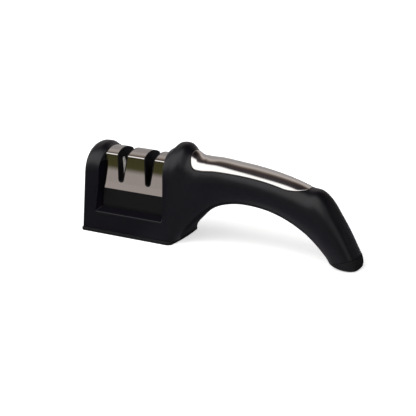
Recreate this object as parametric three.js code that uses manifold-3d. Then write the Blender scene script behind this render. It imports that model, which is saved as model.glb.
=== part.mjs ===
// Two-stage pull-through knife sharpener: a slotted head, an arched grip and a tail on a rubber foot.
// X runs from the head to the tail, Y across the body and Z up. The knife is drawn through along Y.
// Lengths are in millimetres. X = 0 is the head's end wall until the finished group is centred.
import * as THREE from 'three';
import { mergeVertices } from 'three/addons/utils/BufferGeometryUtils.js';
import Module from 'manifold-3d';

const wasm = await Module();
wasm.setup();

// Driving dimensions: housing
const HEAD_LENGTH = 66.8;
const BASE_WIDTH = 40;
const GRIP_LENGTH = 94;
const NECK_RUN = 30;
const TAIL_REACH = 35.25;
const WALL_TOP = 60.2;
const WALL_CREST_DROP = 2;
const WALL_CREST_ROUND = 4;
const WALL_SPRING = 42;
const WALL_HALF_WIDTH = 18;
const HUMP_TOP = 67.15;
const HUMP_FRONT_RISE = 4.4;
const GRIP_TOP = 60;
const GRIP_DROP = 10.5;
const GRIP_ARCH = 31.6;
const GRIP_HALF_WIDTH = 13.1;
const SHELL = 2.8;
const END_TOP_ROUND = 6;
const END_SIDE_ROUND = 2;
const END_DRAFT = 1.7;

// Driving dimensions: bay, window and cartridge
const BAY_START = 13.3;
const NECK_WALL = 6;
const PANEL_BOTTOM = 19.4;
const BEVEL_SIDE = 5.6;
const BEVEL_BOTTOM = 5.4;
const BEVEL_NECK_SIDE = 1;
const COVER_FOLD_HEIGHT = 55;
const COVER_FOLD_HALF_DEPTH = 10;
const COVER_LEAN = 0.17;
const COVER_CROWN = 3;
const COVER_DROP = 23.5;
const COVER_SHEET = 0.6;
const SLOT_SPACING = 21;
const SLOT_DEPTH = 18.5;
const SLOT_TOP_HALF = 4.2;
const SLOT_BOTTOM_HALF = 2.35;
const SLOT_LIP = 0.8;
const CARRIER_LOWER_HALF = 15.9;
const LEDGE_LENGTH = 5;
const LEDGE_DROP = 2;

// Driving dimensions: sharpening stages
const STAGE_ANGLE = THREE.MathUtils.degToRad(16);
const NOTCH_RISE = 5.5;
const ROD_RADIUS = 2.25;
const ROD_LENGTH = 24;
const ROD_TOP_DROP = 3.7;
const ROD_OFFSET = 3.4;
const BLADE_WIDTH = 5;
const BLADE_THICKNESS = 2.4;
const BLADE_LENGTH = 18;
const BLADE_TOP_DROP = 9;

// Driving dimensions: base, foot, inlay and screws
const SOLE_THICKNESS = 2.4;
const SOLE_LIP = 0.6;
const SOLE_ROUND = 0.8;
const BASE_OVERHANG = 1.6;
const BASE_CORNER = 2;
const BASE_NECK_CORNER = 4.2;
const BASE_BOW = 1.6;
const RIM = 3.7;
const PLATE_THICKNESS = 3.2;
const FOOT_LIP = 0.21;
const FOOT_SWELL = 0.14;
const FOOT_PLUG = 6;
const FOOT_TOE_HEIGHT = 3.4;
const FOOT_HEEL_HEIGHT = 8.8;
const FOOT_PAD_INSET = 4.2;
const FOOT_PAD_SHIFT = 3.8;
const INLAY_SHEET = 1.2;
const INLAY_PROUD = 0.25;
const INLAY_HALF_WIDTH = 11.2;
const INLAY_SETBACK = 10.6;
const INLAY_LENGTH = 84.2;
const INLAY_FRONT_ROUND = 6;
const INLAY_TIP_ROUND = 16;
const TONGUE_LENGTH = 8;
const TONGUE_DEPTH = 6;
const TONGUE_THICKNESS = 1.2;
const SCREW_RADIUS = 1.3;
const SCREW_HEAD_RADIUS = 2.6;
const SCREW_HEAD_HEIGHT = 1.7;
const SCREW_SINK = 4;
const SCREW_BITE = 7;
const BOSS_RADIUS = 3.7;
const CARRIER_SCREW_START = 9.75;
const CARRIER_SCREW_MARGIN = 4.75;
const CARRIER_SCREW_HEIGHT = 6;
const BASE_SCREW_SETBACK = 4.5;
const BASE_SCREW_SPREAD = 8.5;
const BASE_SCREW_COVER = 2.5;
const GAP = 0.3;

// Heights and places that follow from the driving dimensions
const BASE_LENGTH = HEAD_LENGTH + BASE_OVERHANG;
const BAY_LENGTH = HEAD_LENGTH - BAY_START - NECK_WALL;
const BAY_END = BAY_START + BAY_LENGTH;
const TAIL_END = HEAD_LENGTH + GRIP_LENGTH + TAIL_REACH;
const SLOT_BOTTOM = COVER_FOLD_HEIGHT - SLOT_DEPTH;
const COVER_BOTTOM = COVER_FOLD_HEIGHT - COVER_DROP;
const COVER_TOP = COVER_FOLD_HEIGHT + COVER_CROWN;
const RIM_HEIGHT = SOLE_THICKNESS;
const PLATE_TOP = RIM_HEIGHT + PLATE_THICKNESS;
const CARRIER_BOTTOM = PLATE_TOP + GAP;
const CARRIER_LENGTH = BAY_LENGTH - 2 * GAP;
const LEDGE_TOP = PANEL_BOTTOM - LEDGE_DROP;
const LEDGE_START = BAY_END - LEDGE_LENGTH;
const SLOT_MIDDLE = BAY_START + BAY_LENGTH / 2;
const FINE_SLOT_X = SLOT_MIDDLE - SLOT_SPACING / 2;
const COARSE_SLOT_X = SLOT_MIDDLE + SLOT_SPACING / 2;
const INLAY_START = HEAD_LENGTH + INLAY_SETBACK;
const CUT_REACH = 200;
const HOLLOW_COUNT = 22;
const LEAF_STATIONS = 28;
const LEAF_STEPS = 10;

// Materials
const finish = (color, roughness, metalness) => new THREE.MeshStandardMaterial({ color, roughness, metalness });
const blackPlastic = () => finish(0x1b191f, 0.5, 0);
const blackRubber = () => finish(0x121214, 0.85, 0);
const brushedSteel = () => finish(0xb9b4b0, 0.3, 1);
const polishedSteel = () => finish(0xd2ccc8, 0.12, 1);
const whiteCeramic = () => finish(0xe9e6df, 0.45, 0);
const greyCarbide = () => finish(0x5c5a58, 0.4, 1);
const zincScrew = () => finish(0x9a9a98, 0.35, 1);

// Solids: closed triangle meshes that can be joined and cut
function solid(geometry) {
  const bare = geometry.index ? geometry.toNonIndexed() : geometry;
  bare.deleteAttribute('normal');
  bare.deleteAttribute('uv');
  const merged = mergeVertices(bare, 1e-4);
  const vertProperties = new Float32Array(merged.attributes.position.array);
  const triVerts = new Uint32Array(merged.index.array);
  return new wasm.Manifold(new wasm.Mesh({ numProp: 3, vertProperties, triVerts }));
}

function geometryOf(body) {
  const mesh = body.getMesh();
  const geometry = new THREE.BufferGeometry();
  geometry.setAttribute('position', new THREE.BufferAttribute(mesh.vertProperties, 3));
  geometry.setIndex(new THREE.BufferAttribute(mesh.triVerts, 1));
  return geometry;
}

const box = (x0, x1, y0, y1, z0, z1) => solid(new THREE.BoxGeometry(x1 - x0, y1 - y0, z1 - z0)
  .translate((x0 + x1) / 2, (y0 + y1) / 2, (z0 + z1) / 2));

const cylinderAlongY = (radius, x, z, y0, y1) => solid(new THREE.CylinderGeometry(radius, radius, y1 - y0, 16)
  .translate(x, (y0 + y1) / 2, z));

const cylinderAlongZ = (radius, x, y, z0, z1) => solid(new THREE.CylinderGeometry(radius, radius, z1 - z0, 16)
  .rotateX(Math.PI / 2).translate(x, y, (z0 + z1) / 2));

// A shape drawn in Y and Z, carried along X
function extrudeAlongX(shape, start, length) {
  const turn = new THREE.Matrix4().makeBasis(
    new THREE.Vector3(0, 1, 0), new THREE.Vector3(0, 0, 1), new THREE.Vector3(1, 0, 0));
  return solid(new THREE.ExtrudeGeometry(shape, { depth: length, bevelEnabled: false, curveSegments: 12 })
    .applyMatrix4(turn).translate(start, 0, 0));
}

// A shape drawn in X and Z, carried along Y on both sides of the centre plane
const extrudeAlongY = (shape, width) => solid(
  new THREE.ExtrudeGeometry(shape, { depth: width, bevelEnabled: false, curveSegments: 8 })
    .rotateX(Math.PI / 2).translate(0, width / 2, 0));

const middleOf = (ring) => ring
  .reduce((sum, point) => sum.add(point), new THREE.Vector3())
  .divideScalar(ring.length);

// Closed rings of equal count joined into a skin, with a fan on each end
function loft(rings) {
  const count = rings[0].length;
  const points = rings.flat();
  const indices = [];
  for (let ring = 0; ring + 1 < rings.length; ring += 1) {
    for (let step = 0; step < count; step += 1) {
      const a = ring * count + step;
      const b = ring * count + ((step + 1) % count);
      indices.push(a, b, a + count, b, b + count, a + count);
    }
  }
  const first = points.length;
  points.push(middleOf(rings[0]), middleOf(rings[rings.length - 1]));
  const last = (rings.length - 1) * count;
  for (let step = 0; step < count; step += 1) {
    const next = (step + 1) % count;
    indices.push(first, next, step, first + 1, last + step, last + next);
  }
  const geometry = new THREE.BufferGeometry().setFromPoints(points);
  geometry.setIndex(indices);
  return solid(geometry);
}

// Key sections of the housing. Each lies in a plane through its lowest and highest point and is a
// superellipse about its spring line, with its own roundness above and below that line.
const NECK = HEAD_LENGTH;
const GRIP_END = HEAD_LENGTH + GRIP_LENGTH;
const HEAD_FLOOR = -1.5 * RIM_HEIGHT;

function key(bottomX, bottomZ, topX, topZ, halfWidth, spring, roundTop, roundBottom) {
  return {
    bottom: new THREE.Vector3(bottomX, 0, bottomZ),
    top: new THREE.Vector3(topX, 0, topZ),
    form: new THREE.Vector3(halfWidth, roundTop, roundBottom),
    spring,
  };
}

const upright = (x, bottomZ, topZ, halfWidth, spring, roundTop, roundBottom) => (
  key(x, bottomZ, x, topZ, halfWidth, spring, roundTop, roundBottom));

// A section of the head, whose sides always spring at the same height
const wallAt = (x, topZ, roundTop) => upright(
  x, HEAD_FLOOR, topZ, WALL_HALF_WIDTH, (WALL_SPRING - HEAD_FLOOR) / (topZ - HEAD_FLOOR), roundTop, 16);

// Lines of the neck, grip and tail, each by a share of the lengths and heights that it runs between. The
// tail's places run back from its end.
const { lerp } = THREE.MathUtils;
const neckAt = (share) => NECK + NECK_RUN * share;
const gripAt = (share) => NECK + GRIP_LENGTH * share;
const tailAt = (share) => TAIL_END - TAIL_REACH * share;
const humpTop = (share) => lerp(GRIP_TOP, HUMP_TOP, share);
const gripTop = (share) => GRIP_TOP - GRIP_DROP * share ** 2.9;
const tailTop = (share) => lerp(FOOT_HEEL_HEIGHT, gripTop(1), share);
const under = (share) => GRIP_ARCH * share;
const tailUnder = (share) => lerp(FOOT_TOE_HEIGHT, under(0.598), share);
const neckHalf = (share) => lerp(GRIP_HALF_WIDTH, WALL_HALF_WIDTH, share);
const gripHalf = (share) => GRIP_HALF_WIDTH * share;
const BASE_FLARE = BASE_WIDTH / 2 - WALL_HALF_WIDTH;

const KEYS = [
  wallAt(END_TOP_ROUND, WALL_TOP, 2.14),
  wallAt(BAY_START - WALL_CREST_ROUND, WALL_TOP, 2.14),
  wallAt(BAY_START, WALL_TOP - WALL_CREST_DROP, 2.14),
  wallAt(BAY_END, COVER_TOP + HUMP_FRONT_RISE, 2.29),
  upright(NECK, HEAD_FLOOR, HUMP_TOP, neckHalf(0.93), 0.66, 1.95, 9),
  upright(neckAt(0.167), under(0.152), HUMP_TOP, neckHalf(0.66), 0.62, 2.25, 5),
  upright(neckAt(0.333), under(0.347), humpTop(0.473), neckHalf(0.36), 0.58, 2.05, 3.6),
  upright(neckAt(0.5), under(0.517), humpTop(0.077), neckHalf(0.16), 0.55, 2.1, 3.3),
  upright(neckAt(0.7), under(0.702), gripTop(0), gripHalf(1), 0.52, 2.2, 3.1),
  upright(neckAt(1), under(0.881), gripTop(0.1), gripHalf(0.985), 0.5, 2.25, 2.8),
  upright(gripAt(0.46), under(0.988), gripTop(0.46), gripHalf(1), 0.48, 2.25, 2.4),
  upright(gripAt(0.6), under(1), gripTop(0.6), gripHalf(1.008), 0.48, 2.25, 2.4),
  upright(gripAt(0.74), under(0.942), gripTop(0.74), gripHalf(1.015), 0.48, 2.25, 2.4),
  upright(gripAt(0.88), under(0.798), gripTop(0.88), gripHalf(1.008), 0.48, 2.25, 2.4),
  upright(GRIP_END, under(0.598), gripTop(1), gripHalf(1), 0.48, 2.25, 2.4),
  key(tailAt(0.851), tailUnder(0.723), tailAt(0.786), tailTop(0.974), gripHalf(1), 0.48, 2.25, 2.4),
  key(tailAt(0.738), tailUnder(0.487), tailAt(0.604), tailTop(0.851), gripHalf(0.985), 0.48, 2.3, 2.4),
  key(tailAt(0.644), tailUnder(0.278), tailAt(0.423), tailTop(0.626), gripHalf(0.97), 0.48, 2.35, 2.4),
  key(tailAt(0.582), tailUnder(0.129), tailAt(0.233), tailTop(0.367), gripHalf(0.947), 0.48, 2.4, 2.4),
  key(tailAt(0.542), FOOT_TOE_HEIGHT, TAIL_END, FOOT_HEEL_HEIGHT, gripHalf(0.916), 0.48, 2.4, 2.4),
];

const bottomLine = new THREE.CatmullRomCurve3(KEYS.map((one) => one.bottom));
const topLine = new THREE.CatmullRomCurve3(KEYS.map((one) => one.top));
const formLine = new THREE.CatmullRomCurve3(KEYS.map((one) => one.form));

// The section at a place along the key sections, from 0 at the first to 1 at the last
function sectionAt(place) {
  const scaled = place * (KEYS.length - 1);
  const index = Math.min(Math.floor(scaled), KEYS.length - 2);
  const form = formLine.getPoint(place);
  return {
    bottom: bottomLine.getPoint(place),
    top: topLine.getPoint(place),
    halfWidth: form.x,
    roundTop: form.y,
    roundBottom: form.z,
    spring: THREE.MathUtils.lerp(KEYS[index].spring, KEYS[index + 1].spring, scaled - index),
    flare: BASE_FLARE * THREE.MathUtils.smoothstep(form.x, GRIP_HALF_WIDTH, WALL_HALF_WIDTH),
  };
}

const signedPower = (value, power) => Math.sign(value) * Math.abs(value) ** power;

// A ring of points around a section, shrunk inwards by inset on every side
function ringOf(section, count, inset = 0) {
  const span = section.top.clone().sub(section.bottom);
  const height = span.length();
  const up = span.divideScalar(height);
  const below = height * section.spring - inset;
  const above = height * (1 - section.spring) - inset;
  const centre = section.bottom.clone().addScaledVector(up, height * section.spring);
  return Array.from({ length: count }, (_, step) => {
    const angle = (2 * Math.PI * (step + 0.5)) / count;
    const rise = Math.sin(angle);
    const power = 2 / (rise > 0 ? section.roundTop : section.roundBottom);
    const lift = signedPower(rise, power) * (rise > 0 ? above : below);
    const flare = rise > 0 ? 0 : section.flare * (-lift / below);
    const side = signedPower(Math.cos(angle), power) * (section.halfWidth - inset + flare);
    const point = centre.clone().addScaledVector(up, lift);
    point.y = side;
    return point;
  });
}

// Half the width of an upright section at a height
function halfWidthAt(section, height) {
  const share = (height - section.bottom.z) / (section.top.z - section.bottom.z);
  const isUpper = share > section.spring;
  const offset = Math.abs(share - section.spring) / (isUpper ? 1 - section.spring : section.spring);
  const round = isUpper ? section.roundTop : section.roundBottom;
  return section.halfWidth * (1 - offset ** round) ** (1 / round);
}

// The place along the key sections whose lowest point has a given X
function placeAtX(x) {
  let low = 0;
  let high = 1;
  for (let step = 0; step < 40; step += 1) {
    const middle = (low + high) / 2;
    if (bottomLine.getPoint(middle).x < x) {
      low = middle;
    } else {
      high = middle;
    }
  }
  return low;
}

// The head's end: the first section drawn in along quarter rounds, a large one on top and small ones beside
const drawnIn = (round, x) => (x < round ? round - Math.sqrt(round ** 2 - (round - x) ** 2) : 0);

function endRings(count, inset) {
  const first = sectionAt(0);
  const places = [0, 0.15, 0.5, 1].map((share) => share * END_SIDE_ROUND);
  places.push((END_SIDE_ROUND + END_TOP_ROUND) / 2);
  return places.map((x) => {
    const top = first.top.clone();
    top.z -= 0.9 * drawnIn(END_TOP_ROUND, x);
    const halfWidth = first.halfWidth - drawnIn(END_SIDE_ROUND, x);
    const ring = ringOf({ ...first, top, halfWidth }, count, inset);
    return ring.map((point) => new THREE.Vector3(x, point.y, point.z));
  });
}

// The end wall leans out towards the base, and the lean dies away along the head's end
function leanOut(point) {
  const along = 1 - THREE.MathUtils.clamp(point.x / BAY_START, 0, 1);
  const down = THREE.MathUtils.clamp((WALL_SPRING - point.z) / (WALL_SPRING - RIM_HEIGHT), 0, 1);
  return new THREE.Vector3(point.x - END_DRAFT * along * down, point.y, point.z);
}

function housingLoft(count, stepsPerKey, inset) {
  const stations = (KEYS.length - 1) * stepsPerKey;
  const rings = endRings(count, inset);
  for (let station = 0; station <= stations; station += 1) {
    rings.push(ringOf(sectionAt(station / stations), count, inset));
  }
  return rings.map((ring) => ring.map(leanOut));
}

// The tail's end plane, square to which the foot's plug goes in
const tailSection = sectionAt(1);
const tailRise = tailSection.top.clone().sub(tailSection.bottom).normalize();
const tailOut = new THREE.Vector3(tailRise.z, 0, -tailRise.x);
const shifted = (ring, distance) => ring.map((point) => point.clone().addScaledVector(tailOut, distance));

const outside = loft(housingLoft(40, 2, 0));

// Hollow of the grip and of the end wall, open at the tail
function hollow() {
  const rings = housingLoft(HOLLOW_COUNT, 1, SHELL);
  rings.push(shifted(rings[rings.length - 1], 2 * SHELL));
  return loft(rings)
    .subtract(box(-CUT_REACH, SHELL, -CUT_REACH, CUT_REACH, -CUT_REACH, CUT_REACH))
    .subtract(box(BAY_START - SHELL, BAY_END + SHELL, -CUT_REACH, CUT_REACH, -CUT_REACH, CUT_REACH))
    .subtract(box(-CUT_REACH, NECK + 8, -CUT_REACH, CUT_REACH, -CUT_REACH, PLATE_TOP + SHELL));
}

// Half the cartridge's depth at a height, on the face of cover and panel
const coverHalf = (z) => COVER_FOLD_HALF_DEPTH + COVER_LEAN * (COVER_FOLD_HEIGHT - z);

// Outline of the base, drawn in by inset: round corners at the leaning end wall, a bowed end under the neck
function footprint(inset) {
  const half = BASE_WIDTH / 2 - inset;
  const corner = Math.max(BASE_CORNER - inset, 1);
  const neckCorner = Math.max(BASE_NECK_CORNER - inset, 1);
  const start = inset - END_DRAFT + corner;
  const end = BASE_LENGTH - inset;
  const shape = new THREE.Shape();
  shape.moveTo(start, -half);
  shape.lineTo(end - neckCorner, -half);
  shape.quadraticCurveTo(end, -half, end, -half + neckCorner);
  shape.quadraticCurveTo(end + BASE_BOW, 0, end, half - neckCorner);
  shape.quadraticCurveTo(end, half, end - neckCorner, half);
  shape.lineTo(start, half);
  shape.absarc(start, half - corner, corner, Math.PI / 2, Math.PI, false);
  shape.absarc(start, -half + corner, corner, Math.PI, Math.PI * 1.5, false);
  return shape;
}

const slab = (inset, z0, z1) => solid(
  new THREE.ExtrudeGeometry(footprint(inset), { depth: z1 - z0, bevelEnabled: false, curveSegments: 6 })
    .translate(0, 0, z0));

// One side of the window: the opening at the panel widens through the bevels towards the outside
function windowSide(sign) {
  const top = WALL_TOP + HUMP_TOP;
  const outer = BASE_WIDTH / 2;
  const spread = 1.6;
  const corner = (x, z, bevelX, bevelZ) => {
    const inside = new THREE.Vector3(x, sign * (coverHalf(z) - GAP), z);
    const face = new THREE.Vector3(x + bevelX, sign * outer, z + bevelZ);
    return [inside, inside.clone().lerp(face, spread)];
  };
  const corners = [
    corner(BAY_START, PANEL_BOTTOM, -BEVEL_SIDE, -BEVEL_BOTTOM),
    corner(BAY_END, PANEL_BOTTOM, BEVEL_NECK_SIDE, -BEVEL_BOTTOM),
    corner(BAY_END, top, BEVEL_NECK_SIDE, 0),
    corner(BAY_START, top, -BEVEL_SIDE, 0),
  ];
  const inner = corners.map((pair) => pair[0]);
  const wide = corners.map((pair) => pair[1]);
  return loft(sign < 0 ? [inner, wide] : [wide, inner]);
}

// Leaf outline of the inlay: half its width at a distance from its blunt front end
function leafHalfWidth(distance, grow) {
  const length = INLAY_LENGTH + 2 * grow;
  const front = Math.min(distance / INLAY_FRONT_ROUND, 1);
  const tip = Math.min((length - distance) / INLAY_TIP_ROUND, 1);
  const taper = 1 - 0.1 * (distance / length);
  const blunt = (1 - (1 - front) ** 3) ** (1 / 3);
  const point = (1 - (1 - tip) ** 2) ** 0.5;
  return Math.max((INLAY_HALF_WIDTH + grow) * taper * blunt * point, 0.5 + grow);
}

// A plate that follows the grip's top between two heights over its surface
function leafPlate(low, high, grow) {
  const start = INLAY_START - grow;
  const length = INLAY_LENGTH + 2 * grow;
  const rings = Array.from({ length: LEAF_STATIONS + 1 }, (_, station) => {
    const distance = (length * (1 - Math.cos((Math.PI * station) / LEAF_STATIONS))) / 2;
    const section = sectionAt(placeAtX(start + distance));
    const half = leafHalfWidth(distance, grow);
    const height = section.top.z - section.bottom.z;
    const above = height * (1 - section.spring);
    const springZ = section.bottom.z + height * section.spring;
    const surface = (y, lift) => {
      const ratio = y / section.halfWidth;
      const round = section.roundTop;
      const level = (1 - Math.abs(ratio) ** round) ** (1 / round);
      const normal = new THREE.Vector3(0, signedPower(ratio, round - 1) / section.halfWidth,
        level ** (round - 1) / above).normalize();
      return new THREE.Vector3(section.bottom.x, y, springZ + above * level).addScaledVector(normal, lift);
    };
    const places = Array.from({ length: LEAF_STEPS + 1 }, (_entry, step) => half * ((2 * step) / LEAF_STEPS - 1));
    const upper = places.map((y) => surface(y, high));
    const lower = places.map((y) => surface(y, low)).reverse();
    return upper.concat(lower);
  });
  return loft(rings.map((ring) => ring.reverse()));
}

const tongueX = [0.22, 0.72].map((share) => INLAY_START + INLAY_LENGTH * share);
const tongueTop = (x) => sectionAt(placeAtX(x)).top.z - INLAY_SHEET + INLAY_PROUD;

const tongue = (x, grow) => box(
  x - TONGUE_LENGTH / 2 - grow, x + TONGUE_LENGTH / 2 + grow,
  -TONGUE_THICKNESS / 2 - grow, TONGUE_THICKNESS / 2 + grow,
  tongueTop(x) - TONGUE_DEPTH - grow, tongueTop(x) + INLAY_SHEET / 2);

// Screws: places in X and Z for those along Y, in X and Y for those along Z
const HOUSING_SCREWS = [
  [neckAt(0.2), WALL_SPRING * 0.714],
  [gripAt(0.5), (GRIP_ARCH + gripTop(0.5)) / 2],
  [gripAt(0.93), (under(0.715) + gripTop(0.93)) / 2],
];
const BASE_SCREWS = [BAY_START - BASE_SCREW_SETBACK, BAY_END - LEDGE_LENGTH / 5]
  .flatMap((x) => [-1, 1].map((side) => [x, side * BASE_SCREW_SPREAD]));
const BASE_BOSS_TOP = LEDGE_TOP;
const BASE_SCREW_TIP = LEDGE_TOP - BASE_SCREW_COVER;

const screwSeat = ([x, z]) => halfWidthAt(sectionAt(placeAtX(x)), z) - SCREW_SINK;

// The whole housing before it is split, with its bosses standing in the hollows
function wholeHousing() {
  const side = CARRIER_LOWER_HALF + GAP;
  let body = outside.subtract(hollow());
  for (const [x, z] of HOUSING_SCREWS) {
    body = body.add(cylinderAlongY(BOSS_RADIUS, x, z, -BASE_WIDTH, BASE_WIDTH).intersect(outside));
  }
  for (const [x, y] of BASE_SCREWS) {
    body = body.add(cylinderAlongZ(BOSS_RADIUS, x, y, PLATE_TOP, BASE_BOSS_TOP).intersect(outside));
  }
  const cuts = [
    box(BAY_START, BAY_END, -CUT_REACH, CUT_REACH, PANEL_BOTTOM, CUT_REACH),
    box(BAY_START, LEDGE_START, -side, side, -CUT_REACH, PANEL_BOTTOM + GAP),
    box(LEDGE_START - GAP, BAY_END, -side, side, LEDGE_TOP, PANEL_BOTTOM + GAP),
    box(-CUT_REACH, NECK + 12, -CUT_REACH, CUT_REACH, -CUT_REACH, RIM_HEIGHT),
    slab(RIM, 0, PLATE_TOP + GAP),
    windowSide(-1),
    windowSide(1),
    leafPlate(INLAY_PROUD - INLAY_SHEET - GAP, 4, GAP),
    ...tongueX.map((x) => tongue(x, GAP)),
    ...BASE_SCREWS.map(([x, y]) => cylinderAlongZ(SCREW_RADIUS + GAP, x, y, 0, BASE_SCREW_TIP + GAP)),
  ];
  return cuts.reduce((rest, cut) => rest.subtract(cut), body);
}

function housingHalves() {
  const whole = wholeHousing();
  let front = whole.intersect(box(-CUT_REACH, 2 * CUT_REACH, -CUT_REACH, 0, -CUT_REACH, CUT_REACH));
  let back = whole.intersect(box(-CUT_REACH, 2 * CUT_REACH, 0, CUT_REACH, -CUT_REACH, CUT_REACH));
  for (const place of HOUSING_SCREWS) {
    const [x, z] = place;
    const seat = screwSeat(place);
    front = front.subtract(cylinderAlongY(SCREW_RADIUS + GAP, x, z, -SCREW_BITE - GAP, 1));
    back = back.subtract(cylinderAlongY(SCREW_RADIUS + GAP, x, z, -1, seat + 1));
    back = back.subtract(cylinderAlongY(SCREW_HEAD_RADIUS + GAP, x, z, seat, BASE_WIDTH));
  }
  return [front, back];
}

// Pan-head screw standing on Z = 0 at the underside of its head, with the shank below
function screw(length) {
  const profile = [
    [0, -length],
    [SCREW_RADIUS * 0.5, -length],
    [SCREW_RADIUS, -length + 1.5],
    [SCREW_RADIUS, 0],
    [SCREW_HEAD_RADIUS, 0],
    [SCREW_HEAD_RADIUS, SCREW_HEAD_HEIGHT * 0.45],
    [SCREW_HEAD_RADIUS * 0.72, SCREW_HEAD_HEIGHT * 0.9],
    [0, SCREW_HEAD_HEIGHT],
  ].map(([radius, height]) => new THREE.Vector2(radius, height));
  return new THREE.LatheGeometry(profile, 12).rotateX(Math.PI / 2);
}

// Tapered knife slot with a round floor, drawn in X and Z and carried through the cartridge
function slotCut(x, inset) {
  const low = SLOT_BOTTOM_HALF - inset;
  const floor = SLOT_BOTTOM + inset + low;
  const slope = (SLOT_TOP_HALF - SLOT_BOTTOM_HALF) / (SLOT_DEPTH - SLOT_BOTTOM_HALF);
  const top = COVER_TOP + COVER_CROWN;
  const high = low + slope * (top - floor);
  const shape = new THREE.Shape();
  shape.moveTo(x - high, top);
  shape.lineTo(x - low, floor);
  shape.absarc(x, floor, low, Math.PI, 2 * Math.PI, false);
  shape.lineTo(x + high, top);
  return extrudeAlongY(shape, 2 * BASE_WIDTH);
}

// Crown of the cover: a circular arc over the two folds, offset inwards by a depth
const CROWN_RADIUS = (COVER_FOLD_HALF_DEPTH ** 2 + COVER_CROWN ** 2) / (2 * COVER_CROWN);
const CROWN_CENTRE = COVER_TOP - CROWN_RADIUS;
const foldHalf = (depth) => COVER_FOLD_HALF_DEPTH - depth;
const foldAngle = (depth) => Math.asin(foldHalf(depth) / (CROWN_RADIUS - depth));

function crownArc(shape, depth, fromLeft) {
  const angle = foldAngle(depth);
  const start = Math.PI / 2 + (fromLeft ? angle : -angle);
  const end = Math.PI / 2 - (fromLeft ? angle : -angle);
  shape.absarc(0, CROWN_CENTRE, CROWN_RADIUS - depth, start, end, fromLeft);
}

function steelCover() {
  const low = coverHalf(COVER_BOTTOM);
  const shape = new THREE.Shape();
  shape.moveTo(-low + COVER_SHEET, COVER_BOTTOM);
  shape.lineTo(-low, COVER_BOTTOM);
  crownArc(shape, 0, true);
  shape.lineTo(low, COVER_BOTTOM);
  shape.lineTo(low - COVER_SHEET, COVER_BOTTOM);
  crownArc(shape, COVER_SHEET, false);
  return extrudeAlongX(shape, BAY_START + GAP, CARRIER_LENGTH)
    .subtract(slotCut(FINE_SLOT_X, 0))
    .subtract(slotCut(COARSE_SLOT_X, 0));
}

// Carrier profile: upright foot behind the rail, panel flush with the cover, stepped in under the sheet
function carrierBlock() {
  const shoulder = COVER_BOTTOM - GAP;
  const panelFoot = COVER_FOLD_HEIGHT - (CARRIER_LOWER_HALF - COVER_FOLD_HALF_DEPTH) / COVER_LEAN;
  const tuck = COVER_SHEET + GAP;
  const shape = new THREE.Shape();
  shape.moveTo(CARRIER_LOWER_HALF, CARRIER_BOTTOM);
  shape.lineTo(CARRIER_LOWER_HALF, panelFoot);
  shape.lineTo(coverHalf(shoulder), shoulder);
  shape.lineTo(coverHalf(shoulder) - tuck, shoulder);
  crownArc(shape, tuck, false);
  shape.lineTo(-coverHalf(shoulder) + tuck, shoulder);
  shape.lineTo(-coverHalf(shoulder), shoulder);
  shape.lineTo(-CARRIER_LOWER_HALF, panelFoot);
  shape.lineTo(-CARRIER_LOWER_HALF, CARRIER_BOTTOM);
  return extrudeAlongX(shape, BAY_START + GAP, CARRIER_LENGTH)
    .subtract(box(LEDGE_START - GAP, CUT_REACH, -CUT_REACH, CUT_REACH, 0, LEDGE_TOP + GAP))
    .subtract(slotCut(FINE_SLOT_X, SLOT_LIP))
    .subtract(slotCut(COARSE_SLOT_X, SLOT_LIP));
}

// A sharpening piece leans in its slot so that its upper edge meets its partner's at the notch. The front
// one leans back towards the end wall; the back one is the same turned half round about the slot's middle.
const NOTCH = SLOT_BOTTOM + NOTCH_RISE;

function leaning(geometry, halfWide, topHeight, length, slotX, isBack) {
  const crossing = NOTCH - halfWide / Math.sin(STAGE_ANGLE);
  const middle = topHeight - (length / 2) * Math.cos(STAGE_ANGLE);
  const placed = geometry.rotateY(-STAGE_ANGLE)
    .translate(-(middle - crossing) * Math.tan(STAGE_ANGLE), 0, middle);
  return placed.rotateZ(isBack ? Math.PI : 0).translate(slotX, 0, 0);
}

const ROD_TOP = COVER_FOLD_HEIGHT - ROD_TOP_DROP;
const BLADE_TOP = COVER_FOLD_HEIGHT - BLADE_TOP_DROP;

function ceramicRod(isBack) {
  const rod = new THREE.CylinderGeometry(ROD_RADIUS, ROD_RADIUS, ROD_LENGTH, 28)
    .rotateX(Math.PI / 2).translate(0, -ROD_OFFSET, 0);
  return leaning(rod, ROD_RADIUS, ROD_TOP, ROD_LENGTH, FINE_SLOT_X, isBack);
}

function carbideBlade(isBack) {
  const blade = new THREE.BoxGeometry(BLADE_WIDTH, BLADE_THICKNESS, BLADE_LENGTH)
    .translate(0, -GAP - BLADE_THICKNESS / 2, 0);
  return leaning(blade, BLADE_WIDTH / 2, BLADE_TOP, BLADE_LENGTH, COARSE_SLOT_X, isBack);
}

// Groove for a rod, open towards the face where the carrier halves meet
function rodGroove(isBack) {
  const radius = ROD_RADIUS + GAP;
  const length = ROD_LENGTH + 2 * GAP;
  const shape = new THREE.Shape();
  shape.moveTo(radius, 1);
  shape.lineTo(-radius, 1);
  shape.absarc(0, -ROD_OFFSET, radius, Math.PI, 2 * Math.PI, false);
  const groove = new THREE.ExtrudeGeometry(shape, { depth: length, bevelEnabled: false, curveSegments: 12 })
    .translate(0, 0, -length / 2);
  return solid(leaning(groove, ROD_RADIUS, ROD_TOP + GAP * Math.cos(STAGE_ANGLE), length, FINE_SLOT_X, isBack));
}

function bladeGroove(isBack) {
  const depth = BLADE_THICKNESS + 2 * GAP;
  const length = BLADE_LENGTH + 2 * GAP;
  const groove = new THREE.BoxGeometry(BLADE_WIDTH + 2 * GAP, depth + 1, length).translate(0, (1 - depth) / 2, 0);
  const top = BLADE_TOP + GAP * Math.cos(STAGE_ANGLE);
  return solid(leaning(groove, BLADE_WIDTH / 2, top, length, COARSE_SLOT_X, isBack));
}

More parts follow.
